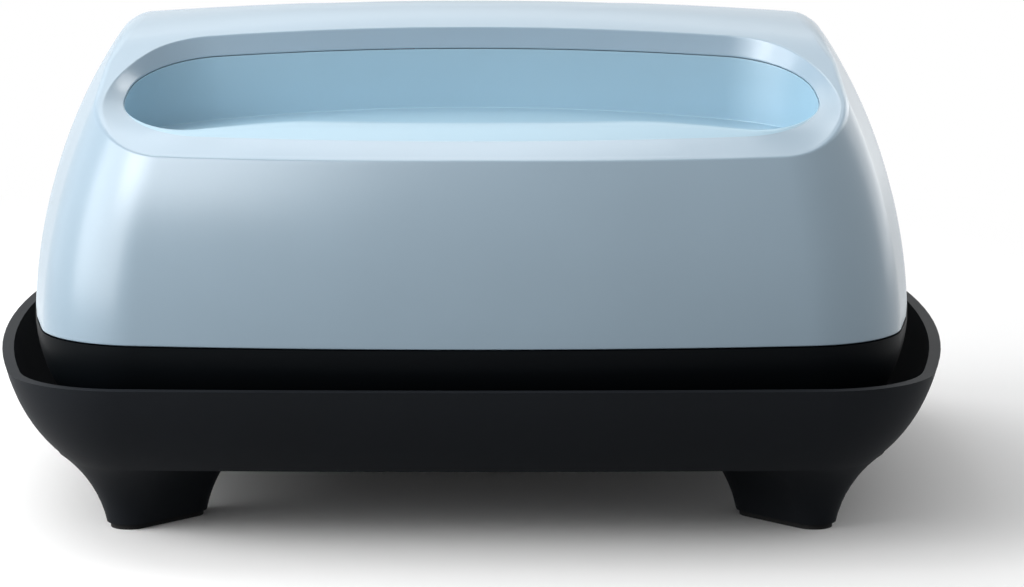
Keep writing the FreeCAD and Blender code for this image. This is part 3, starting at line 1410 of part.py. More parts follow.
def staple_path(x, y, low, landing_y, landing):
    """Straight up, over in two quarter bends, and down onto the power board."""
    bend = size("lead_bend")
    k = math.sqrt(0.5)
    top = landing + size("lead_rise") + bend
    over = Vector(x, y - bend, top)
    down = Vector(x, landing_y + bend, top)
    before = Vector(x, y, top - bend)
    after = Vector(x, landing_y, top - bend)
    first = Vector(x, y - bend + bend * k, top - bend + bend * k)
    second = Vector(x, landing_y + bend - bend * k, top - bend + bend * k)
    return Part.Wire([
        Part.makeLine(Vector(x, y, low), before),
        Part.Arc(before, first, over).toShape(),
        Part.makeLine(over, down),
        Part.Arc(down, second, after).toShape(),
        Part.makeLine(after, Vector(x, landing_y, landing)),
    ])


def make_leads():
    """The elements' leads with their crimps, the sensors' straight leads and the ribbon cable."""
    low = size("terminal_top")
    landing_y = size("power_board_depth") / 2 - size("board_post_inset")
    leads = []
    for x, y in terminal_spots():
        spot = landing_y if y > size("inner_loop_y") else landing_y - 4 * size("lead_radius")
        wire = tube(staple_path(x, y, low, spot, size("board_level")), size("lead_radius"))
        crimp = Part.makeCylinder(size("element_radius"), size("crimp_length"), Vector(x, y, low))
        leads.append(wire.fuse(crimp).removeSplitter().Solids[0])
    solid_feature("element_leads", Part.makeCompound(leads))
    wires = []
    under = size("board_level") - size("board_thickness")
    for number, (radius, x, y) in enumerate(sensor_spots(), start=1):
        for side in (-1, 1):
            wires.append(cylinder("sensor_lead_%d_%d" % (number, side + 1), "lead_radius",
                                  "%g - shield_height" % under,
                                  at(WORLD, x + side * radius / 2, y, size("shield_height"))))
    group("sensor_leads", wires)
    frame = panel_frame()
    top = frame.multVec(Vector(-size("button_first"), 0, board_face() - size("board_thickness")))
    tilt = math.tan(math.radians(size("panel_angle"))) * size("ribbon_thickness")
    ribbon = doc.addObject("Part::Box", "ribbon_cable")
    bind(ribbon, Length="ribbon_width", Width="ribbon_thickness")
    ribbon.Height = top.z - size("board_level") - tilt
    ribbon.Placement = at(WORLD, top.x - size("ribbon_width") / 2,
                          top.y - size("ribbon_thickness") / 2, size("board_level"))
    subpart(ribbon, "ribbon_cable")


make_stand()
make_stand_fittings()
make_shell()
make_liners()
make_skirt()
make_hot_end()
make_insulation()
make_deck()
make_power()
make_controls()
make_cord_entry()
make_cord_clamp()
make_leads()
doc.recompute()

for item in doc.Objects:
    if "Invalid" in item.State or "Error" in item.State:
        raise RuntimeError("%s failed: %s" % (item.Label, item.State))
for item in SUBPARTS:
    if item.Shape.isNull() or not item.Shape.isValid():
        raise RuntimeError("%s has no valid shape" % item.Label)
for item in SUBPARTS:
    item.Shape.exportStep("parts/%s.step" % item.Label)
    box = item.Shape.BoundBox
    print("%-24s %2d solids %10.1f mm3  z %6.1f to %6.1f" % (
        item.Label, len(item.Shape.Solids), item.Shape.Volume, box.ZMin, box.ZMax))
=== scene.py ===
import json
import math

import bpy
import numpy as np
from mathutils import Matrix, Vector
from mathutils.geometry import delaunay_2d_cdt


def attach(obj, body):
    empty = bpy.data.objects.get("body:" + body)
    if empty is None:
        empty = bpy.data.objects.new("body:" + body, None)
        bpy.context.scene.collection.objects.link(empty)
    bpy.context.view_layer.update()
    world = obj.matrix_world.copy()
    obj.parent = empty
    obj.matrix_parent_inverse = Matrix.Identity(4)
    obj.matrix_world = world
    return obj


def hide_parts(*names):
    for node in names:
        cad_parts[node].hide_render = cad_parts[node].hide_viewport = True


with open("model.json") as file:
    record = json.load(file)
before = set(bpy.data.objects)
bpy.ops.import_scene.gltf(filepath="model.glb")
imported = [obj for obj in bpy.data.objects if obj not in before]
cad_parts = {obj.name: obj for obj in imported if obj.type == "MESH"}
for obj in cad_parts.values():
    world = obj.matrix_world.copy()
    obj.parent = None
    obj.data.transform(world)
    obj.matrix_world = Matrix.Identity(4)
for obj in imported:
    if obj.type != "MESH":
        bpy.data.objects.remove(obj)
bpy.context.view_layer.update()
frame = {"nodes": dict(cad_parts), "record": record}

# Forms are made in millimetres, with +X to the right, -Y to the front and the feet on z = 0.
# The pockets, rims and slopes are made for the front, and the back gets their mirror image.
MM = 0.001

# Wall of the shell. It leans inwards on an arc, and its corners close with the height. Its
# lower edge is rounded by the lip, and its inside is drawn up to a small height only.
SHELL_HALF = 165.5
DEPTH_LESS = 25.4
SHELL_LOW = 73.0
LEAN_RADIUS = 190.9
LEAN_CENTRE = 65.35
SHELL_CORNER = 41.0
CORNER_CLOSING = 0.3
SHELL_SIDE = 480.0
SHELL_FRONT = 1020.0
FRONT_FLATTENING = 2.3
SHELL_WALL = 3.2
SHELL_LIP = 0.6
SHELL_INSIDE = 4.0
WALL_ROWS = 33

# Rounding of the shoulder: at front and back, what the sides add, and what the ends of the
# handle bar add. SIDEWAYS is the range over which an edge counts as a side.
SHOULDER = 1.7
SIDE_SHOULDER = 1.1
CREST_SHOULDER = 10.5
CREST_HALF = 42.0
SIDEWAYS = (0.62, 0.98)
SHOULDER_ROWS = 10
EASED_ROWS = 16

# Roof: the handle bar's crown, and the slopes with the openings of the pockets
CREST = 181.7
CROWN = 1650.0
SLOPE = math.radians(22.4)
SLOPE_AT = (-81.5, 156.9)
BLEND = 1.2

# Droop of a slope towards its outer edge. It is stronger and begins earlier at the sides.
SLOPE_END = 125.3
FRONT_DROOP = 0.85
SIDE_DROOP = 1.8
SIDE_DROOP_AT = 120.0
DROOP_REACH = 11.8
SIDE_DROOP_REACH = 15.0
DROOP_SIDE = (70.0, 100.0)
DROOP_LIMIT = 1.2

# Openings, as outline() takes them: the rim lies on the slope, and the mouth on a plane of its
# own. The rim keeps a margin to the shoulder and is rounded on its roof and band sides.
RIM_BACK = 49.6
RIM_FRONT_RADIUS = 1170
RIM_BACK_RADIUS = 680
RIM = (133.3, 49.4, RIM_BACK, -15.2, RIM_FRONT_RADIUS, 30.5, 75, 34.2, RIM_BACK_RADIUS)
RIM_STEPS = 6000
RIM_MARGIN = 0.9
RIM_MARGIN_SOFTNESS = 0.5
RIM_ON_ROOF = 0.4
RIM_ON_BAND = 0.6
BAND_ROWS = 11
MOUTH = math.radians(17.4)
MOUTH_AT = (-75.0, 155.7)
MOUTH_OUTLINE = (125.7, 41.9, 41.0, -11.0, 1170, 31, 90, 37, 600)
MOUTH_EDGE = 0.35
FRONT_SHARPNESS = 0.95
FRONT_FACING = (0.05, 0.65)

# Parting line between shell and liner, and how far both go on out of sight: outwards at the
# sides and the back, downwards at the front
PARTING_GAP = 0.32
PARTING_DEPTH = 1.5
HIDDEN_EDGE = 2.5

# Pocket: its floor, the raised lip at its front, which fades at the sides, and the cove
POCKET_FLOOR = 145.4
FLOOR_CROWN = 1225.0
LIP_RISE = 4.8
LIP_REACH = 13.6
LIP_FALL = 11.0
LIP_LEAST = 0.02
LIP_FADE = (129.0, 55.0)
LIP_ROWS = 22
FALL_ROWS = 29
COVE = 0.35
COVE_ROWS = 6
COVE_SHARE = 0.45

# Control panel: its seat in the roof, and the signs on its six buttons
PANEL_AT = (18.0, 178.10)
PANEL_TILT = math.radians(-9.9)
PANEL_HALF = (61.0, 13.0)
PANEL_CORNER = 8.0
PANEL_CLEARANCE = 0.3
PANEL_ROUNDING = 0.4
PANEL_DEPTH = 2.2
BUTTON_SPOTS = (-52.0, -40.0, -28.0, 28.0, 40.0, 52.0)
BUTTON_TOP = 0.8
SIGN_DEPTH = 0.2
SIGN_RISE = 0.06
SIGN_OFFSET = 0.01

# Pad under the cord gland: the gland's place in x and z, and the pad's face, hole and depth
GLAND_AT = (60.0, 98.0)
GLAND_HOLE = 8.0
PAD_FACE = 138.15
PAD_HOLE = 8.1
PAD_RADIUS = 14.0
PAD_DEPTH = 6.0

# Samples on the five arcs from an outline's front to its back, and spacings of the meshes. A
# lattice keeps a share of its step clear of the rings around it.
ARC_SAMPLES = (64, 30, 8, 30, 56)
CLEAR_SHARE = 0.55
ROOF_STEP = 3.0
FLOOR_STEP = 4.0
PANEL_STEP = 3.0

# Materials: scale of the soft mottling, where its two tones and the flecks begin and end, and
# the scale at which a wave texture has one band per metre
MOTTLING = 22.0
TONES = (0.3, 0.7)
FLECK_EDGE = (0.62, 0.68)
ONE_WAVE = 2 * math.pi / 20
THREAD_DISTORTION = 0.6
COAT_ROUGHNESS = 0.05

# Camera of the photograph: its width, focal length and optical axis in pixels
PHOTO_WIDTH = 1024
FOCAL_LENGTH = 3612
AXIS_AT = 471.5
SENSOR = 36.0
CAMERA_AT = (0, -1.3785, 0.31285)
CAMERA_DOWN = 10.06

# Grey levels of the world and the floor for the rays that light the object, and for the rays
# that see them. The floor turns white over a range of distances from the object, in metres.
WORLD_LIGHT = 0.67
FLOOR_LIGHT = 0.12
WHITE = 1.0
FLOOR_FADE = (0.32, 0.75)
FLOOR_HALF = 6.0

# Lamps: name, place and size in metres, and power in watts. The first kind lights the
# surfaces, and the second is only mirrored in their gloss.
LAMP_AIM = (0, 0, 0.1)
SURFACE_LAMPS = (
    ("key", (-1.25, -0.3, 0.7), (0.7, 0.8), 10.5),
    ("top", (-0.6, 0.5, 1.1), (0.9, 0.9), 6.5),
    ("near_left", (-0.6, -0.5, 0.35), (0.4, 0.4), 1.6),
)
GLOSS_LAMPS = (
    ("left_gloss", (-1.15, -0.62, 0.62), (1.3, 1.1), 23),
    ("low_gloss", (-1.5, 0.1, 0.4), (2.0, 0.8), 2.5),
    ("front_gloss", (-0.75, -1.1, 1.2), (1.2, 1.0), 32),
    ("right_gloss", (1.1, 0.9, 1.1), (0.8, 0.8), 9),
    ("side_gloss", (1.2, 1.2, 0.4), (1.3, 0.8), 4),
    ("top_gloss", (-0.15, 0.5, 1.7), (0.9, 0.9), 10),
    ("back_gloss", (0, 1.2, 1.2), (2.0, 0.8), 5),
)


# Curves and outlines

def ramp(value, start, end):
    """0 up to start, 1 from end on, and a smooth rise between them."""
    t = np.clip((value - start) / (end - start), 0.0, 1.0)
    return t * t * (3 - 2 * t)


def steps(count, end=1.0):
    """Even steps up to end, without the 0 before them."""
    return np.linspace(0, end, count + 1)[1:]


def unit(vectors):
    return vectors / np.linalg.norm(vectors, axis=-1, keepdims=True)


def bezier(a, b, c, count):
    """Rows of a quadratic curve between rows of points."""
    return [(1 - t) ** 2 * a + 2 * t * (1 - t) * b + t ** 2 * c for t in np.linspace(0, 1, count)]


def corner_centre(big, big_r, side, side_r, r, sign):
    """Centre of the corner arc that touches two larger arcs from inside."""
    reach = big_r - r
    gap = np.subtract(side, big)
    span = np.hypot(*gap)
    along = (reach ** 2 - (side_r - r) ** 2 + span ** 2) / (2 * span)
    across = math.sqrt(max(reach ** 2 - along ** 2, 0.0))
    ahead = gap / span
    foot = big + ahead * along
    normal = np.array((-ahead[1], ahead[0]))
    return max((foot + normal * across, foot - normal * across), key=lambda p: p[0] + sign * p[1])


def outline(half, front, back, side_at, r_front, r_low, r_side, r_high, r_back, turned=None):
    """Points around eight tangent arcs, from the front's middle over +X to the back and on.

    turned gives the bearings of the right half's normals. Else each arc has its samples."""
    front_c = np.array((0.0, r_front - front))
    back_c = np.array((0.0, back - r_back))
    side_c = np.array((half - r_side, side_at))
    low_c = corner_centre(front_c, r_front, side_c, r_side, r_low, -1)
    high_c = corner_centre(back_c, r_back, side_c, r_side, r_high, 1)

    def bearing(a, b):
        return math.atan2(b[1] - a[1], b[0] - a[0])

    turns = (-math.pi / 2, bearing(front_c, low_c), bearing(side_c, low_c),
             bearing(side_c, high_c), bearing(back_c, high_c), math.pi / 2)
    centres = np.array((front_c, low_c, side_c, high_c, back_c))
    radii = np.array((r_front, r_low, r_side, r_high, r_back))
    if turned is None:
        turned = np.concatenate([np.linspace(start, end, count, endpoint=False)
                                 for start, end, count in zip(turns, turns[1:], ARC_SAMPLES)])
    arc = np.clip(np.searchsorted(turns, turned, side="right") - 1, 0, len(radii) - 1)
    right = centres[arc] + radii[arc, None] * np.stack((np.cos(turned), np.sin(turned)), 1)
    left = right[1:][::-1] * (-1, 1)
    return np.concatenate((right, [(0.0, back)], left))


def in_plane(points, at, tilt, lift=0.0):
    """Outline points in a plane tilted about X, as points of the press."""
    y = at[0] + points[:, 1] * math.cos(tilt) - lift * math.sin(tilt)
    z = at[1] + points[:, 1] * math.sin(tilt) + lift * math.cos(tilt)
    return np.stack((points[:, 0], y, z), 1)


def inward_of(ring):
    """Unit vectors in plan that point into a ring."""
    along = np.roll(ring, -1, 0) - np.roll(ring, 1, 0)
    return unit(np.stack((-along[:, 1], along[:, 0]), 1))


def inside(points, ring):
    """Which points lie inside a closed ring, in plan."""
    x, y = points[:, 0, None], points[:, 1, None]
    ax, ay = ring[:, 0], ring[:, 1]
    bx, by = np.roll(ax, -1), np.roll(ay, -1)
    crosses = (ay > y) != (by > y)
    at = ax + (y - ay) * (bx - ax) / np.where(by == ay, 1e-12, by - ay)
    return (crosses & (x < at)).sum(1) % 2 == 1


# Surfaces of the shell

def roof(x, y):
    """Height of the roof: the handle bar's crown and the two slopes beside it."""
    y = np.abs(y)
    uphill = RIM_BACK - RIM_BACK_RADIUS + np.sqrt(RIM_BACK_RADIUS ** 2 - x ** 2)
    crease_y = -SLOPE_AT[0] - uphill * math.cos(SLOPE)
    crease_z = SLOPE_AT[1] + uphill * math.sin(SLOPE)
    crown = CREST - x ** 2 / (2 * CROWN)
    sag = crown - crease_z
    radius = (crease_y ** 2 + sag ** 2) / (2 * sag)
    near = np.minimum(y, crease_y)
    arc = crown - radius + np.sqrt(radius ** 2 - near ** 2)
    arc = arc - (y - near) * crease_y / np.sqrt(radius ** 2 - crease_y ** 2)
    slope = SLOPE_AT[1] - (SLOPE_AT[0] + y) * math.tan(SLOPE)
    droop = FRONT_DROOP + SIDE_DROOP * np.minimum(np.abs(x) / SIDE_DROOP_AT, 1.0) ** 1.5
    end = SLOPE_END - x ** 2 / (2 * RIM_FRONT_RADIUS)
    reach = DROOP_REACH + SIDE_DROOP_REACH * ramp(np.abs(x), *DROOP_SIDE)
    slope = slope - droop * np.clip((y - end) / reach + 1, 0, DROOP_LIMIT) ** 2
    gap = np.maximum(BLEND - np.abs(arc - slope), 0) / BLEND
    return np.minimum(arc, slope) - gap ** 2 * BLEND / 4


def roof_normal(x, y):
    step = 0.05
    dx = (roof(x + step, y) - roof(x - step, y)) / (2 * step)
    dy = (roof(x, y + step) - roof(x, y - step)) / (2 * step)
    return unit(np.stack((-dx, -dy, np.ones_like(dx)), 1))


def wall_ring(z):
    """The wall's outline at a height."""
    lean = LEAN_RADIUS - math.sqrt(LEAN_RADIUS ** 2 - (z - LEAN_CENTRE) ** 2)
    half = SHELL_HALF - lean
    deep = half - DEPTH_LESS
    front = SHELL_FRONT + FRONT_FLATTENING * (z - SHELL_LOW)
    corner = SHELL_CORNER - CORNER_CLOSING * lean
    return outline(half, deep, deep, 0.0, front, corner, SHELL_SIDE, corner, front)


# Meshes from rows of points

class Skin:
    """Collects points, their normals and faces, in millimetres."""

    def __init__(self):
        self.points, self.normals, self.faces = [], [], []
        self.count = 0

    def add(self, points, normals):
        self.points.append(points)
        self.normals.append(normals)
        start = self.count
        self.count += len(points)
        return np.arange(start, self.count)

    def grid(self, rows, first=None, last=None, drop=None):
        """A band of closed rows, whose normals are ring direction x row direction.

        first and last give the normals of the end rows by x and y, and drop picks the faces
        to leave out by their centres."""
        rows = np.array(rows)
        along = np.roll(rows, -1, 1) - np.roll(rows, 1, 1)
        normals = np.cross(along, np.gradient(rows, axis=0))
        size = np.linalg.norm(normals, axis=2, keepdims=True)
        normals = normals / np.where(size < 1e-9, 1, size)
        for end, normal in ((0, first), (-1, last)):
            if normal:
                normals[end] = normal(rows[end, :, 0], rows[end, :, 1])
        index = np.array([self.add(row, row_normals) for row, row_normals in zip(rows, normals)])
        a, b = index[:-1], index[1:]
        quads = np.stack((a, np.roll(a, -1, 1), np.roll(b, -1, 1), b), 2).reshape(-1, 4)
        if drop:
            centres = rows[:-1] + rows[1:] + np.roll(rows[:-1], -1, 1) + np.roll(rows[1:], -1, 1)
            quads = quads[~drop(centres.reshape(-1, 3) / 4)]
        self.faces += quads.tolist()
        return index

    def sheet(self, height, normal, rings, indices, step):
        """A height field inside the first ring and outside the others, on a lattice."""
        outer, holes = rings[0], rings[1:]
        low, high = outer.min(0)[:2], outer.max(0)[:2]
        gx, gy = np.meshgrid(np.arange(low[0], high[0], step), np.arange(low[1], high[1], step))

        def between(points):
            keep = inside(points, outer)
            for hole in holes:
                keep &= ~inside(points, hole)
            return keep

        lattice = np.stack((gx.ravel(), gy.ravel()), 1)
        lattice = lattice[between(lattice)]
        for ring in rings:
            apart = lattice[:, None] - ring[None, :, :2]
            near = np.hypot(apart[..., 0], apart[..., 1]).min(1)
            lattice = lattice[near > CLEAR_SHARE * step]
        x, y = lattice.T
        new = self.add(np.stack((x, y, height(x, y)), 1), normal(x, y))
        flat = [Vector(p[:2]) for ring in rings for p in ring] + [Vector(p) for p in lattice]
        names = np.concatenate([*indices, new])
        edges, start = [], 0
        for ring in rings:
            n = len(ring)
            edges += [(start + k, start + (k + 1) % n) for k in range(n)]
            start += n
        places, _, triangles, origins, _, _ = delaunay_2d_cdt(flat, edges, [], 0, 1e-6)
        triangles = np.array(triangles)
        centres = np.array([place[:] for place in places])[triangles].mean(1)
        source = names[[origin[0] for origin in origins]]
        self.faces += source[triangles[between(centres)]].tolist()

    def mirrored(self, points_from, faces_from):
        """Adds the mirror image, behind the handle bar, of all since two marks."""
        points = np.concatenate(self.points)[points_from:] * (1, -1, 1)
        normals = np.concatenate(self.normals)[points_from:] * (1, -1, 1)
        shift = self.add(points, normals)[0] - points_from
        self.faces += [[i + shift for i in reversed(face)] for face in self.faces[faces_from:]]
        return shift

    def piece(self, name, slot, replaced=()):
        """A smooth piece of the press, in place of the CAD nodes that it replaces."""
        mesh = bpy.data.meshes.new(name)
        mesh.from_pydata((np.concatenate(self.points) * MM).tolist(), [], self.faces)
        mesh.polygons.foreach_set("use_smooth", [True] * len(mesh.polygons))
        mesh.update()
        mesh.normals_split_custom_set_from_vertices(np.concatenate(self.normals).tolist())
        item = add_piece(mesh, "press", slot)
        if replaced:
            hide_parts(*replaced)


def link_new(name, data):
    """A new object in the scene."""
    item = bpy.data.objects.new(name, data)
    bpy.context.scene.collection.objects.link(item)
    return item


def add_piece(mesh, body, slot):
    item = link_new(mesh.name, mesh)
    mesh.materials.append(FINISHES[slot])
    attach(item, body)
    return item


# Materials

def linear(rgb):
    """Linear colour of an sRGB colour given as 0 to 255."""
    return [c / 255 / 12.92 if c <= 10 else ((c / 255 + 0.055) / 1.055) ** 2.4
            for c in rgb] + [1.0]


def shader(name, rgb, roughness, metallic=0.0, vary=0.02, grain=900.0, bump=0.01, spread=0.05,
           coat=0.0, specular=0.5, stretch=(1, 1, 1), flecks=None, weave=None):
    """A Principled material with fine grain, soft mottling and uneven gloss.

    stretch draws the grain out along an axis, flecks scatters a second colour, and weave
    crosses two bands of threads, given as threads per metre."""
    material = bpy.data.materials.new(name)
    material.use_nodes = True
    tree = material.node_tree
    make, link = tree.nodes.new, tree.links.new
    base = tree.nodes["Principled BSDF"]
    base.inputs["Metallic"].default_value = metallic
    base.inputs["Coat Weight"].default_value = coat
    base.inputs["Coat Roughness"].default_value = COAT_ROUGHNESS
    base.inputs["Specular IOR Level"].default_value = specular
    place = make("ShaderNodeTexCoord").outputs["Object"]
    drawn = make("ShaderNodeMapping")
    drawn.inputs["Scale"].default_value = stretch
    link(place, drawn.inputs["Vector"])

    def noise(vector, scale, detail):
        node = make("ShaderNodeTexNoise")
        node.inputs["Scale"].default_value = scale
        node.inputs["Detail"].default_value = detail
        link(vector, node.inputs["Vector"])
        return node.outputs["Fac"]

    def coloured(factor, *stops):
        node = make("ShaderNodeValToRGB")
        for element, (position, colour) in zip(node.color_ramp.elements, stops):
            element.position = position
            element.color = colour
        link(factor, node.inputs["Fac"])
        return node.outputs["Color"]

    mottle = noise(place, MOTTLING, 4.0)
    height = noise(drawn.outputs["Vector"], grain, 3.0)
    low = [c * (1 - vary) for c in linear(rgb)[:3]] + [1.0]
    high = [min(c * (1 + vary), 1.0) for c in linear(rgb)[:3]] + [1.0]
    colour = coloured(mottle, (TONES[0], low), (TONES[1], high))
    if flecks:
        mix = make("ShaderNodeMix")
        mix.data_type = "RGBA"
        spots = coloured(noise(place, grain / 2, 1.0), (FLECK_EDGE[0], (0, 0, 0, 1)),
                         (FLECK_EDGE[1], (1, 1, 1, 1)))
        link(spots, mix.inputs["Factor"])
        link(colour, mix.inputs["A"])
        mix.inputs["B"].default_value = linear(flecks)
        colour = mix.outputs["Result"]
    if weave:
        bands = []
        for axis in ("X", "Y"):
            band = make("ShaderNodeTexWave")
            band.bands_direction = axis
            band.inputs["Scale"].default_value = weave * ONE_WAVE
            band.inputs["Distortion"].default_value = THREAD_DISTORTION
            link(place, band.inputs["Vector"])
            bands.append(band.outputs["Fac"])
        height = combined(tree, "MULTIPLY", *bands)
    link(colour, base.inputs["Base Color"])
    gloss = make("ShaderNodeMapRange")
    gloss.inputs["To Min"].default_value = max(roughness - spread, 0.02)
    gloss.inputs["To Max"].default_value = min(roughness + spread, 1.0)
    link(mottle, gloss.inputs["Value"])
    link(gloss.outputs["Result"], base.inputs["Roughness"])
    relief = make("ShaderNodeBump")
    relief.inputs["Distance"].default_value = bump * MM
    link(height, relief.inputs["Height"])
    link(relief.outputs["Normal"], base.inputs["Normal"])
    return material


def combined(tree, operation, first, second):
    """The result of a Math node on two sockets."""
    node = tree.nodes.new("ShaderNodeMath")
    node.operation = operation
    tree.links.new(first, node.inputs[0])
    tree.links.new(second, node.inputs[1])
    return node.outputs[0]


# Shell

def shell_rows():
    """Rows of the wall and its rounded shoulder, from the lower edge to the roof."""
    heights = np.arange(SHELL_LOW, CREST + 4, 1.0)
    table = np.array([wall_ring(z) for z in heights])
    over = heights[:, None] - roof(table[..., 0], table[..., 1])
    top = np.argmax(over > 0, 0)
    ring = np.arange(table.shape[1])
    share = -over[top - 1, ring] / (over[top, ring] - over[top - 1, ring])
    edge_z = heights[top - 1] + share

    def at_height(z):
        k = np.clip((z - SHELL_LOW).astype(int), 0, len(heights) - 2)
        t = (z - SHELL_LOW - k)[:, None]
        return np.column_stack((table[k, ring] * (1 - t) + table[k + 1, ring] * t, z))

    # The wall and the roof meet in an edge. Their directions there give its opening.
    edge = at_height(edge_z)
    inward = inward_of(edge)
    rise = (edge_z - LEAN_CENTRE) / np.sqrt(LEAN_RADIUS ** 2 - (edge_z - LEAN_CENTRE) ** 2)
    down = unit(np.stack((-rise, -np.ones_like(rise)), 1))
    pitch = roof(*(edge[:, :2] + inward).T) - roof(*edge[:, :2].T)
    up = unit(np.stack((np.ones_like(pitch), pitch), 1))
    opening = np.arccos(np.clip((down * up).sum(1), -1, 1))
    crest_end = np.exp(-(edge[:, 1] / CREST_HALF) ** 4)
    sideways = ramp(np.abs(inward[:, 0]), *SIDEWAYS)
    radius = SHOULDER + SIDE_SHOULDER * sideways + CREST_SHOULDER * crest_end * sideways
    reach = radius / np.tan(opening / 2)
    start = at_height(edge_z + down[:, 1] * reach)
    end = edge.copy()
    end[:, :2] += inward * (up[:, 0] * reach)[:, None]
    end[:, 2] = roof(end[:, 0], end[:, 1])

    low_ring = at_height(np.full(len(ring), SHELL_LOW + SHELL_LIP))
    foot = at_height(np.full(len(ring), SHELL_LOW))
    inner, soft = foot.copy(), foot.copy()
    inner[:, :2] *= 1 - SHELL_WALL / SHELL_HALF
    soft[:, :2] *= 1 - SHELL_LIP / SHELL_HALF
    rows = [inner + (0, 0, SHELL_INSIDE), inner] + bezier(soft, foot, low_ring, 5)
    for t in steps(WALL_ROWS):
        rows.append(at_height(low_ring[:, 2] * (1 - t) + start[:, 2] * t))
    weight = np.sin(opening / 2)[:, None]
    for t in steps(SHOULDER_ROWS):
        parts = (1 - t) ** 2, 2 * t * (1 - t) * weight, t ** 2
        rows.append((parts[0] * start + parts[1] * edge + parts[2] * end) / sum(parts))
    rows = np.array(rows)
    for _ in range(2):
        bend = rows[-EASED_ROWS:]
        bend[1:-1] = (bend[:-2] + 2 * bend[1:-1] + bend[2:]) / 4
    return rows


def front_share(inward):
    """1 where a ring's edge faces the front, 0 along its sides and back."""
    return ramp(inward[:, 1], *FRONT_FACING)


def rim_bearings(mouth):
    """Bearings of the rim's points that lie straight outward of the mouth's points in plan."""
    turned = np.linspace(-math.pi / 2, math.pi / 2, RIM_STEPS + 1)
    rim = in_plane(outline(*RIM, turned=turned), SLOPE_AT, SLOPE)[:len(turned), :2]
    outward = -inward_of(mouth)[:sum(ARC_SAMPLES)]
    off = rim[None] - mouth[:len(outward), None, :2]
    side = off[..., 0] * outward[:, None, 1] - off[..., 1] * outward[:, None, 0]
    passed = np.argmax((side[:, :-1] >= 0) & (side[:, 1:] < 0), 1)
    row = np.arange(len(outward))
    before, after = side[row, passed], side[row, passed + 1]
    return turned[passed] + (turned[1] - turned[0]) * before / (before - after)


def rim_edge(mouth, shoulder):
    """The rim on the roof, moved in where it comes too near to the shoulder."""
    edge = in_plane(outline(*RIM, turned=rim_bearings(mouth)), SLOPE_AT, SLOPE)
    apart = edge[:, None, :2] - shoulder[None, :, :2]
    nearest = np.hypot(apart[..., 0], apart[..., 1]).argmin(1)
    inward = inward_of(shoulder)[nearest]
    depth = (apart[np.arange(len(edge)), nearest] * inward).sum(1)
    short = depth - RIM_MARGIN
    wanted = (depth + RIM_MARGIN + np.sqrt(short ** 2 + RIM_MARGIN_SOFTNESS)) / 2
    edge[:, :2] += inward * (wanted - depth)[:, None]
    edge[:, 2] = roof(edge[:, 0], edge[:, 1])
    return edge


def rim_rows(shoulder):
    """Rows of the front opening's edge, from the roof down the ring band into the mouth."""
    mouth = in_plane(outline(*MOUTH_OUTLINE), MOUTH_AT, MOUTH)
    edge = rim_edge(mouth, shoulder)
    outer = edge.copy()
    outer[:, :2] -= inward_of(edge) * RIM_ON_ROOF
    outer[:, 2] = roof(outer[:, 0], outer[:, 1])
    front = front_share(inward_of(mouth))[:, None]
    soft = MOUTH_EDGE * (1 - FRONT_SHARPNESS * front)
    fall = unit(mouth - edge)
    sink = np.array((0.0, math.sin(MOUTH), -math.cos(MOUTH)))
    start, end = edge + fall * RIM_ON_BAND, mouth - fall * soft
    rows = bezier(outer, edge, start, 7)
    for t in steps(BAND_ROWS):
        band = start + (end - start) * t
        chord = roof(*start[:, :2].T) * (1 - t) + roof(*end[:, :2].T) * t
        band[:, 2] += front[:, 0] * (roof(*band[:, :2].T) - chord)
        rows.append(band)
    rows += bezier(end, mouth, mouth + sink * soft, 5)[1:]
    under = rows[-1] + sink * HIDDEN_EDGE * front
    under[:, :2] -= inward_of(mouth) * PARTING_DEPTH * (1 - front)
    return np.array(rows + [rows[-1], under])


def panel_ring(grow, lift=0.0):
    """The control panel's outline in its tilted plane."""
    half_x, half_y = PANEL_HALF[0] + grow, PANEL_HALF[1] + grow
    r = PANEL_CORNER + grow
    corners = []
    for k, (sx, sy) in enumerate(((1, -1), (1, 1), (-1, 1), (-1, -1))):
        angle = np.radians(np.linspace(-90 + 90 * k, 90 * k, 10))
        corners.append(np.stack((sx * (half_x - r) + r * np.cos(angle),
                                 sy * (half_y - r) + r * np.sin(angle)), 1))
    ring = np.concatenate(corners)
    filled = []
    for a, b in zip(ring, np.roll(ring, -1, 0)):
        count = max(int(np.hypot(*(b - a)) / PANEL_STEP), 1)
        filled += [a + (b - a) * k / count for k in range(count)]
    return in_plane(np.array(filled), PANEL_AT, PANEL_TILT, lift)


def seat_rows():
    """Rows of the control panel's seat, from the roof over a rounded edge to its foot."""
    seat, lower = panel_ring(PANEL_CLEARANCE + PANEL_ROUNDING), panel_ring(PANEL_CLEARANCE)
    for ring in (seat, lower):
        ring[:, 2] = roof(ring[:, 0], ring[:, 1])
    foot = panel_ring(PANEL_CLEARANCE, -PANEL_DEPTH)
    return bezier(seat, lower, lower + unit(foot - lower) * PANEL_ROUNDING, 5) + [foot]


def make_shell():
    skin = Skin()
    walls = shell_rows()

    def at_gland(points):
        off = np.hypot(points[:, 0] - GLAND_AT[0], points[:, 2] - GLAND_AT[1])
        return (points[:, 1] > 0) & (off < GLAND_HOLE + 1)

    top = skin.grid(walls, last=roof_normal, drop=at_gland)[-1]
    mark_points, mark_faces = skin.count, len(skin.faces)
    rim = rim_rows(walls[-1])
    front = skin.grid(rim, first=roof_normal)[0]
    shift = skin.mirrored(mark_points, mark_faces)
    seat = seat_rows()
    seat_index = skin.grid(seat, first=roof_normal)[0]
    skin.sheet(roof, roof_normal, [walls[-1], rim[0], rim[0] * (1, -1, 1), seat[0]],
               [top, front, front + shift, seat_index], ROOF_STEP)
    skin.piece("shell_skin", "shell_plastic", ["upper_shell"])


# Finger pockets

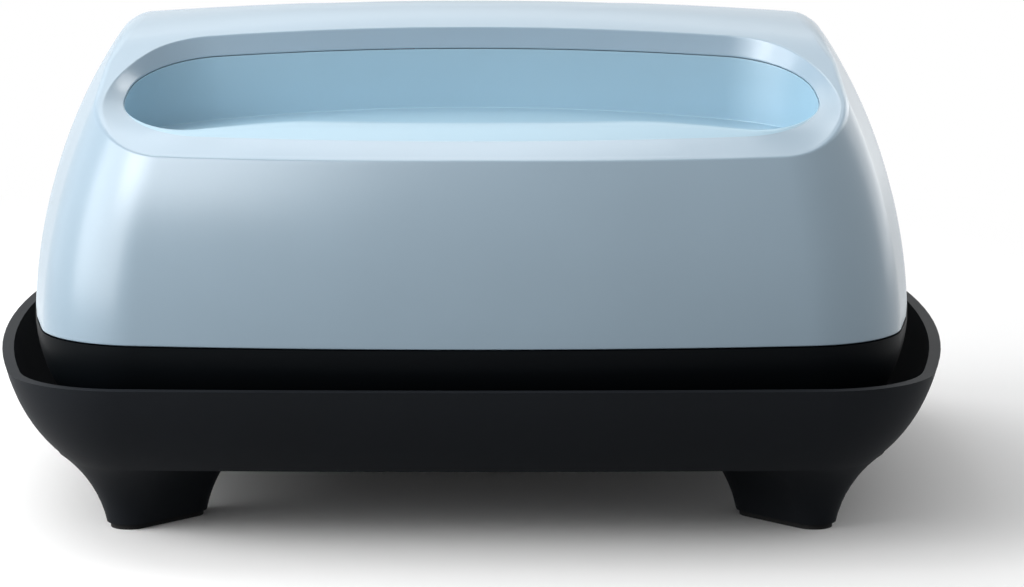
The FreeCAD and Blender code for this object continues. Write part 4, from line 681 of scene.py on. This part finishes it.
def pocket_floor(x, y):
    return POCKET_FLOOR - x ** 2 / (2 * FLOOR_CROWN)


def floor_normal(x, y):
    return unit(np.stack((x / FLOOR_CROWN, 0 * x, np.ones_like(x)), 1))


def pocket_rows():
    """Rows of the front pocket, from the parting line over the lip or down the wall."""
    top = in_plane(outline(*MOUTH_OUTLINE), MOUTH_AT, MOUTH)
    inward = inward_of(top)
    frontness = front_share(inward)
    top[:, 2] -= (MOUTH_EDGE + PARTING_GAP) * (1 - frontness)
    lip = LIP_LEAST + (1 - LIP_LEAST) * frontness * ramp(np.abs(top[:, 0]), *LIP_FADE)
    rise, reach, fall = LIP_RISE * lip, LIP_REACH * lip, LIP_FALL * lip
    hidden = top.copy()
    hidden[:, :2] -= inward * (PARTING_DEPTH * (1 - frontness))[:, None]
    hidden[:, 2] -= HIDDEN_EDGE * frontness
    rows = [hidden, top]

    def row(d, z):
        return np.column_stack((top[:, :2] + inward * d[:, None], top[:, 2] + z))

    for t in np.linspace(0, 1, LIP_ROWS):
        rows.append(row(reach * t, rise * math.sin(t * math.pi / 2)))
    well = top[:, :2] + inward * (reach + fall + COVE)[:, None]
    drop = top[:, 2] + rise - pocket_floor(*well.T)
    cove = np.minimum(COVE, COVE_SHARE * drop)
    for angle in steps(FALL_ROWS, math.pi / 2):
        rows.append(row(reach + fall * math.sin(angle),
                        rise - (drop - cove) * (1 - math.cos(angle))))
    for angle in steps(COVE_ROWS, math.pi / 2):
        rows.append(row(reach + fall + COVE * (1 - math.cos(angle)),
                        rise - drop + cove * (1 - math.sin(angle))))
    rows[-1][:, 2] = pocket_floor(*rows[-1][:, :2].T)
    return np.array(rows)


def make_pocket(name, node, behind):
    skin = Skin()
    rows = pocket_rows()
    last = skin.grid(rows, last=floor_normal)[-1]
    skin.sheet(pocket_floor, floor_normal, [rows[-1]], [last], FLOOR_STEP)
    if behind:
        skin.points = [p * (1, -1, 1) for p in skin.points]
        skin.normals = [p * (1, -1, 1) for p in skin.normals]
        skin.faces = [face[::-1] for face in skin.faces]
    skin.piece(name, "liner_plastic", [node])


# Small pieces of the outside

def make_gland_pad():
    """The round pad on the back wall under the cord gland's flange."""
    foot = PAD_FACE - PAD_DEPTH
    profile = [(PAD_HOLE, foot), (PAD_HOLE, PAD_FACE), (PAD_RADIUS - 0.9, PAD_FACE),
               (PAD_RADIUS - 0.35, PAD_FACE - 0.15), (PAD_RADIUS, PAD_FACE - 0.6),
               (PAD_RADIUS, foot)]
    turn = np.linspace(0, 2 * math.pi, 72, endpoint=False)
    rows = [np.stack((GLAND_AT[0] + r * np.cos(turn), np.full(len(turn), y),
                      GLAND_AT[1] + r * np.sin(turn)), 1) for r, y in profile]
    skin = Skin()
    skin.grid(np.repeat(rows, 2, 0)[1:-1])
    skin.piece("gland_pad", "shell_plastic")


def thick_line(points, width=0.42):
    """The outline of a stroke with round ends along a few points."""
    points = np.array(points, float)
    along = unit(np.gradient(points, axis=0))
    side = np.stack((-along[:, 1], along[:, 0]), 1) * width / 2
    turn = np.linspace(0, math.pi, 9)[1:-1, None]

    def cap(at, out, across):
        return at + out * width / 2 * np.sin(turn) + across * np.cos(turn)

    return np.concatenate((points + side, cap(points[-1], along[-1], side[-1]),
                           (points - side)[::-1], cap(points[0], -along[0], -side[0])))


def arc_points(radius, start, end, count=28):
    angle = np.radians(np.linspace(start, end, count))
    return np.stack((radius * np.cos(angle), radius * np.sin(angle)), 1)


def make_signs():
    """Raised signs on the six buttons, each on its own button."""
    level = thick_line([(-1.5, 0), (1.5, 0)])
    signs = {
        "power_button": [thick_line(arc_points(1.75, 120, 420)),
                         thick_line([(0, 0.7), (0, 2.1)])],
        "temperature_button": [thick_line([(0, -0.2), (0, 2.1)], 0.75),
                               arc_points(0.95, 0, 352) - (0, 1.1)],
        "timer_button": [thick_line(arc_points(1.9, 0, 359.9, 48), 0.32),
                         thick_line([(0, 1.2), (0, 0), (0.85, -0.45)], 0.34)],
        "minus_button": [level],
        "plus_button": [level, thick_line([(0, -1.5), (0, 1.5)])],
        "start_button": [np.array([(-1.0, -1.5), (1.55, 0), (-1.0, 1.5)])],
    }
    for (name, outlines), x in zip(signs.items(), BUTTON_SPOTS):
        points, faces = [], []
        for number, ring in enumerate(outlines):
            start, n = len(points), len(ring)
            for lift in (BUTTON_TOP - SIGN_DEPTH, BUTTON_TOP + SIGN_RISE + SIGN_OFFSET * number):
                raised = in_plane(ring + (x, 0), PANEL_AT, PANEL_TILT, lift)
                points += (raised * MM).tolist()
            faces.append(list(range(start + n, start + 2 * n)))
            faces += [[start + k, start + (k + 1) % n, start + n + (k + 1) % n, start + n + k]
                      for k in range(n)]
        mesh = bpy.data.meshes.new(name + "_sign")
        mesh.from_pydata(points, [], faces)
        add_piece(mesh, name, "bezel_plastic")


# Stage

def make_camera():
    data = bpy.data.cameras.new("camera")
    data.sensor_width = SENSOR
    data.lens = FOCAL_LENGTH / PHOTO_WIDTH * SENSOR
    data.shift_x = (PHOTO_WIDTH / 2 - AXIS_AT) / PHOTO_WIDTH
    item = link_new("camera", data)
    item.location = CAMERA_AT
    item.rotation_euler = (math.radians(90 - CAMERA_DOWN), 0, 0)
    bpy.context.scene.camera = item


def area_light(name, place, size, power):
    data = bpy.data.lights.new(name, "AREA")
    data.shape = "RECTANGLE"
    data.size, data.size_y = size
    data.energy = power
    item = link_new(name, data)
    item.location = place
    item.rotation_euler = (Vector(LAMP_AIM) - Vector(place)).to_track_quat("-Z", "Y").to_euler()
    return item


def make_lamps():
    for lamp in SURFACE_LAMPS:
        area_light(*lamp).visible_glossy = False
    for lamp in GLOSS_LAMPS:
        area_light(*lamp).visible_diffuse = False


def seen_directly(tree):
    """1 for camera, glossy and transmission rays, 0 for the rays that light the scene."""
    path = tree.nodes.new("ShaderNodeLightPath").outputs
    seen = combined(tree, "MAXIMUM", path["Is Camera Ray"], path["Is Glossy Ray"])
    return combined(tree, "MAXIMUM", seen, path["Is Transmission Ray"])


def grey_by_ray(tree, lighting, seen):
    """A grey that has one level for the rays that light the scene and one for the others."""
    mix = tree.nodes.new("ShaderNodeMix")
    mix.data_type = "RGBA"
    mix.inputs["A"].default_value = (lighting, lighting, lighting, 1)
    mix.inputs["B"].default_value = (seen, seen, seen, 1)
    tree.links.new(seen_directly(tree), mix.inputs["Factor"])
    return mix.outputs["Result"]


def make_world():
    world = bpy.data.worlds.new("studio")
    bpy.context.scene.world = world
    world.use_nodes = True
    tree = world.node_tree
    back = tree.nodes["Background"]
    tree.links.new(grey_by_ray(tree, WORLD_LIGHT, WHITE), back.inputs["Color"])
    back.inputs["Strength"].default_value = 1.0


def floor_paper():
    """A floor that takes the object's shadow and turns white away from it."""
    material = bpy.data.materials.new("floor_paper")
    material.use_nodes = True
    tree = material.node_tree
    tree.nodes.remove(tree.nodes["Principled BSDF"])
    diffuse = tree.nodes.new("ShaderNodeBsdfDiffuse")
    tree.links.new(grey_by_ray(tree, FLOOR_LIGHT, WHITE), diffuse.inputs["Color"])
    white = tree.nodes.new("ShaderNodeEmission")
    away = tree.nodes.new("ShaderNodeVectorMath")
    away.operation = "LENGTH"
    tree.links.new(tree.nodes.new("ShaderNodeTexCoord").outputs["Object"], away.inputs[0])
    share = tree.nodes.new("ShaderNodeMapRange")
    share.interpolation_type = "SMOOTHSTEP"
    share.inputs["From Min"].default_value = FLOOR_FADE[0]
    share.inputs["From Max"].default_value = FLOOR_FADE[1]
    tree.links.new(away.outputs["Value"], share.inputs["Value"])
    blend = tree.nodes.new("ShaderNodeMixShader")
    both = combined(tree, "MULTIPLY", share.outputs["Result"], seen_directly(tree))
    tree.links.new(both, blend.inputs["Fac"])
    tree.links.new(diffuse.outputs[0], blend.inputs[1])
    tree.links.new(white.outputs[0], blend.inputs[2])
    tree.links.new(blend.outputs[0], tree.nodes["Material Output"].inputs["Surface"])
    return material


def make_floor():
    mesh = bpy.data.meshes.new("floor")
    corners = ((-1, -1), (1, -1), (1, 1), (-1, 1))
    mesh.from_pydata([(x * FLOOR_HALF, y * FLOOR_HALF, 0) for x, y in corners], [],
                     [(0, 1, 2, 3)])
    link_new("floor", mesh)
    mesh.materials.append(floor_paper())


# Assembly

FINISHES = {
    "shell_plastic": shader("shell_blue", (152, 174, 190), 0.25, spread=0.015),
    "liner_plastic": shader("liner_blue", (152, 185, 203), 0.36),
    "skirt_plastic": shader("skirt_black", (4, 7, 10), 0.5, specular=0.05),
    "stand_plastic": shader("stand_charcoal", (24, 27, 31), 0.6, vary=0.08, bump=0.03, grain=1400,
                            specular=0.08),
    "bezel_plastic": shader("panel_black", (15, 16, 19), 0.36, specular=0.2),
    "window_glass": shader("window_smoked", (5, 7, 10), 0.08, bump=0.001, specular=0.35),
    "button_plastic": shader("button_grey", (178, 192, 204), 0.42, bump=0.02),
    "pad_rubber": shader("rubber_black", (24, 24, 25), 0.8, bump=0.05, specular=0.2),
    "silicone": shader("silicone_grey", (84, 86, 88), 0.62, specular=0.3),
    "plate_coating": shader("plate_coating", (58, 59, 62), 0.45, metallic=0.3, grain=2600,
                            bump=0.012, flecks=(96, 97, 100)),
    "sheet_metal": shader("rolled_sheet", (190, 192, 195), 0.33, metallic=1.0, grain=300,
                          bump=0.006, stretch=(1, 26, 26)),
    "screw_steel": shader("zinc_steel", (172, 174, 177), 0.33, metallic=1.0, grain=2000),
    "element_sheath": shader("burnished_sheath", (96, 88, 82), 0.48, metallic=0.9, vary=0.2),
    "standoff_brass": shader("turned_brass", (196, 164, 92), 0.34, metallic=1.0, grain=700,
                             stretch=(1, 1, 20)),
    "sensor_metal": shader("nickel_plate", (186, 182, 172), 0.2, metallic=1.0, grain=1500),
    "glass_fibre": shader("glass_fibre", (214, 208, 190), 0.85, vary=0.08, bump=0.25, weave=700,
                          specular=0.2),
    "deck_plastic": shader("deck_plastic", (52, 54, 57), 0.55, flecks=(70, 72, 75)),
    "board_laminate": shader("board_laminate", (30, 84, 58), 0.35, vary=0.12, coat=0.3,
                             stretch=(1, 6, 1)),
    "relay_case": shader("relay_case", (38, 74, 122), 0.4),
    "module_case": shader("module_case", (28, 28, 30), 0.5, bump=0.02),
    "terminal_case": shader("terminal_ceramic", (218, 214, 202), 0.5, vary=0.05),
    "sink_aluminium": shader("extruded_aluminium", (178, 180, 184), 0.38, metallic=1.0,
                             grain=260, stretch=(1, 30, 30)),
    "lead_insulation": shader("lead_insulation", (168, 60, 46), 0.5, bump=0.02),
}
slot_of = {row["node"]: row["material_slot"] for row in frame["record"]["subparts"]}
for name, item in frame["nodes"].items():
    item.data.materials.clear()
    item.data.materials.append(FINISHES[slot_of[name]])

make_shell()
make_pocket("front_pocket_skin", "front_liner", False)
make_pocket("rear_pocket_skin", "rear_liner", True)
make_gland_pad()
make_signs()
make_camera()
make_world()
make_floor()
make_lamps()
bpy.context.scene.view_settings.view_transform = "Standard"
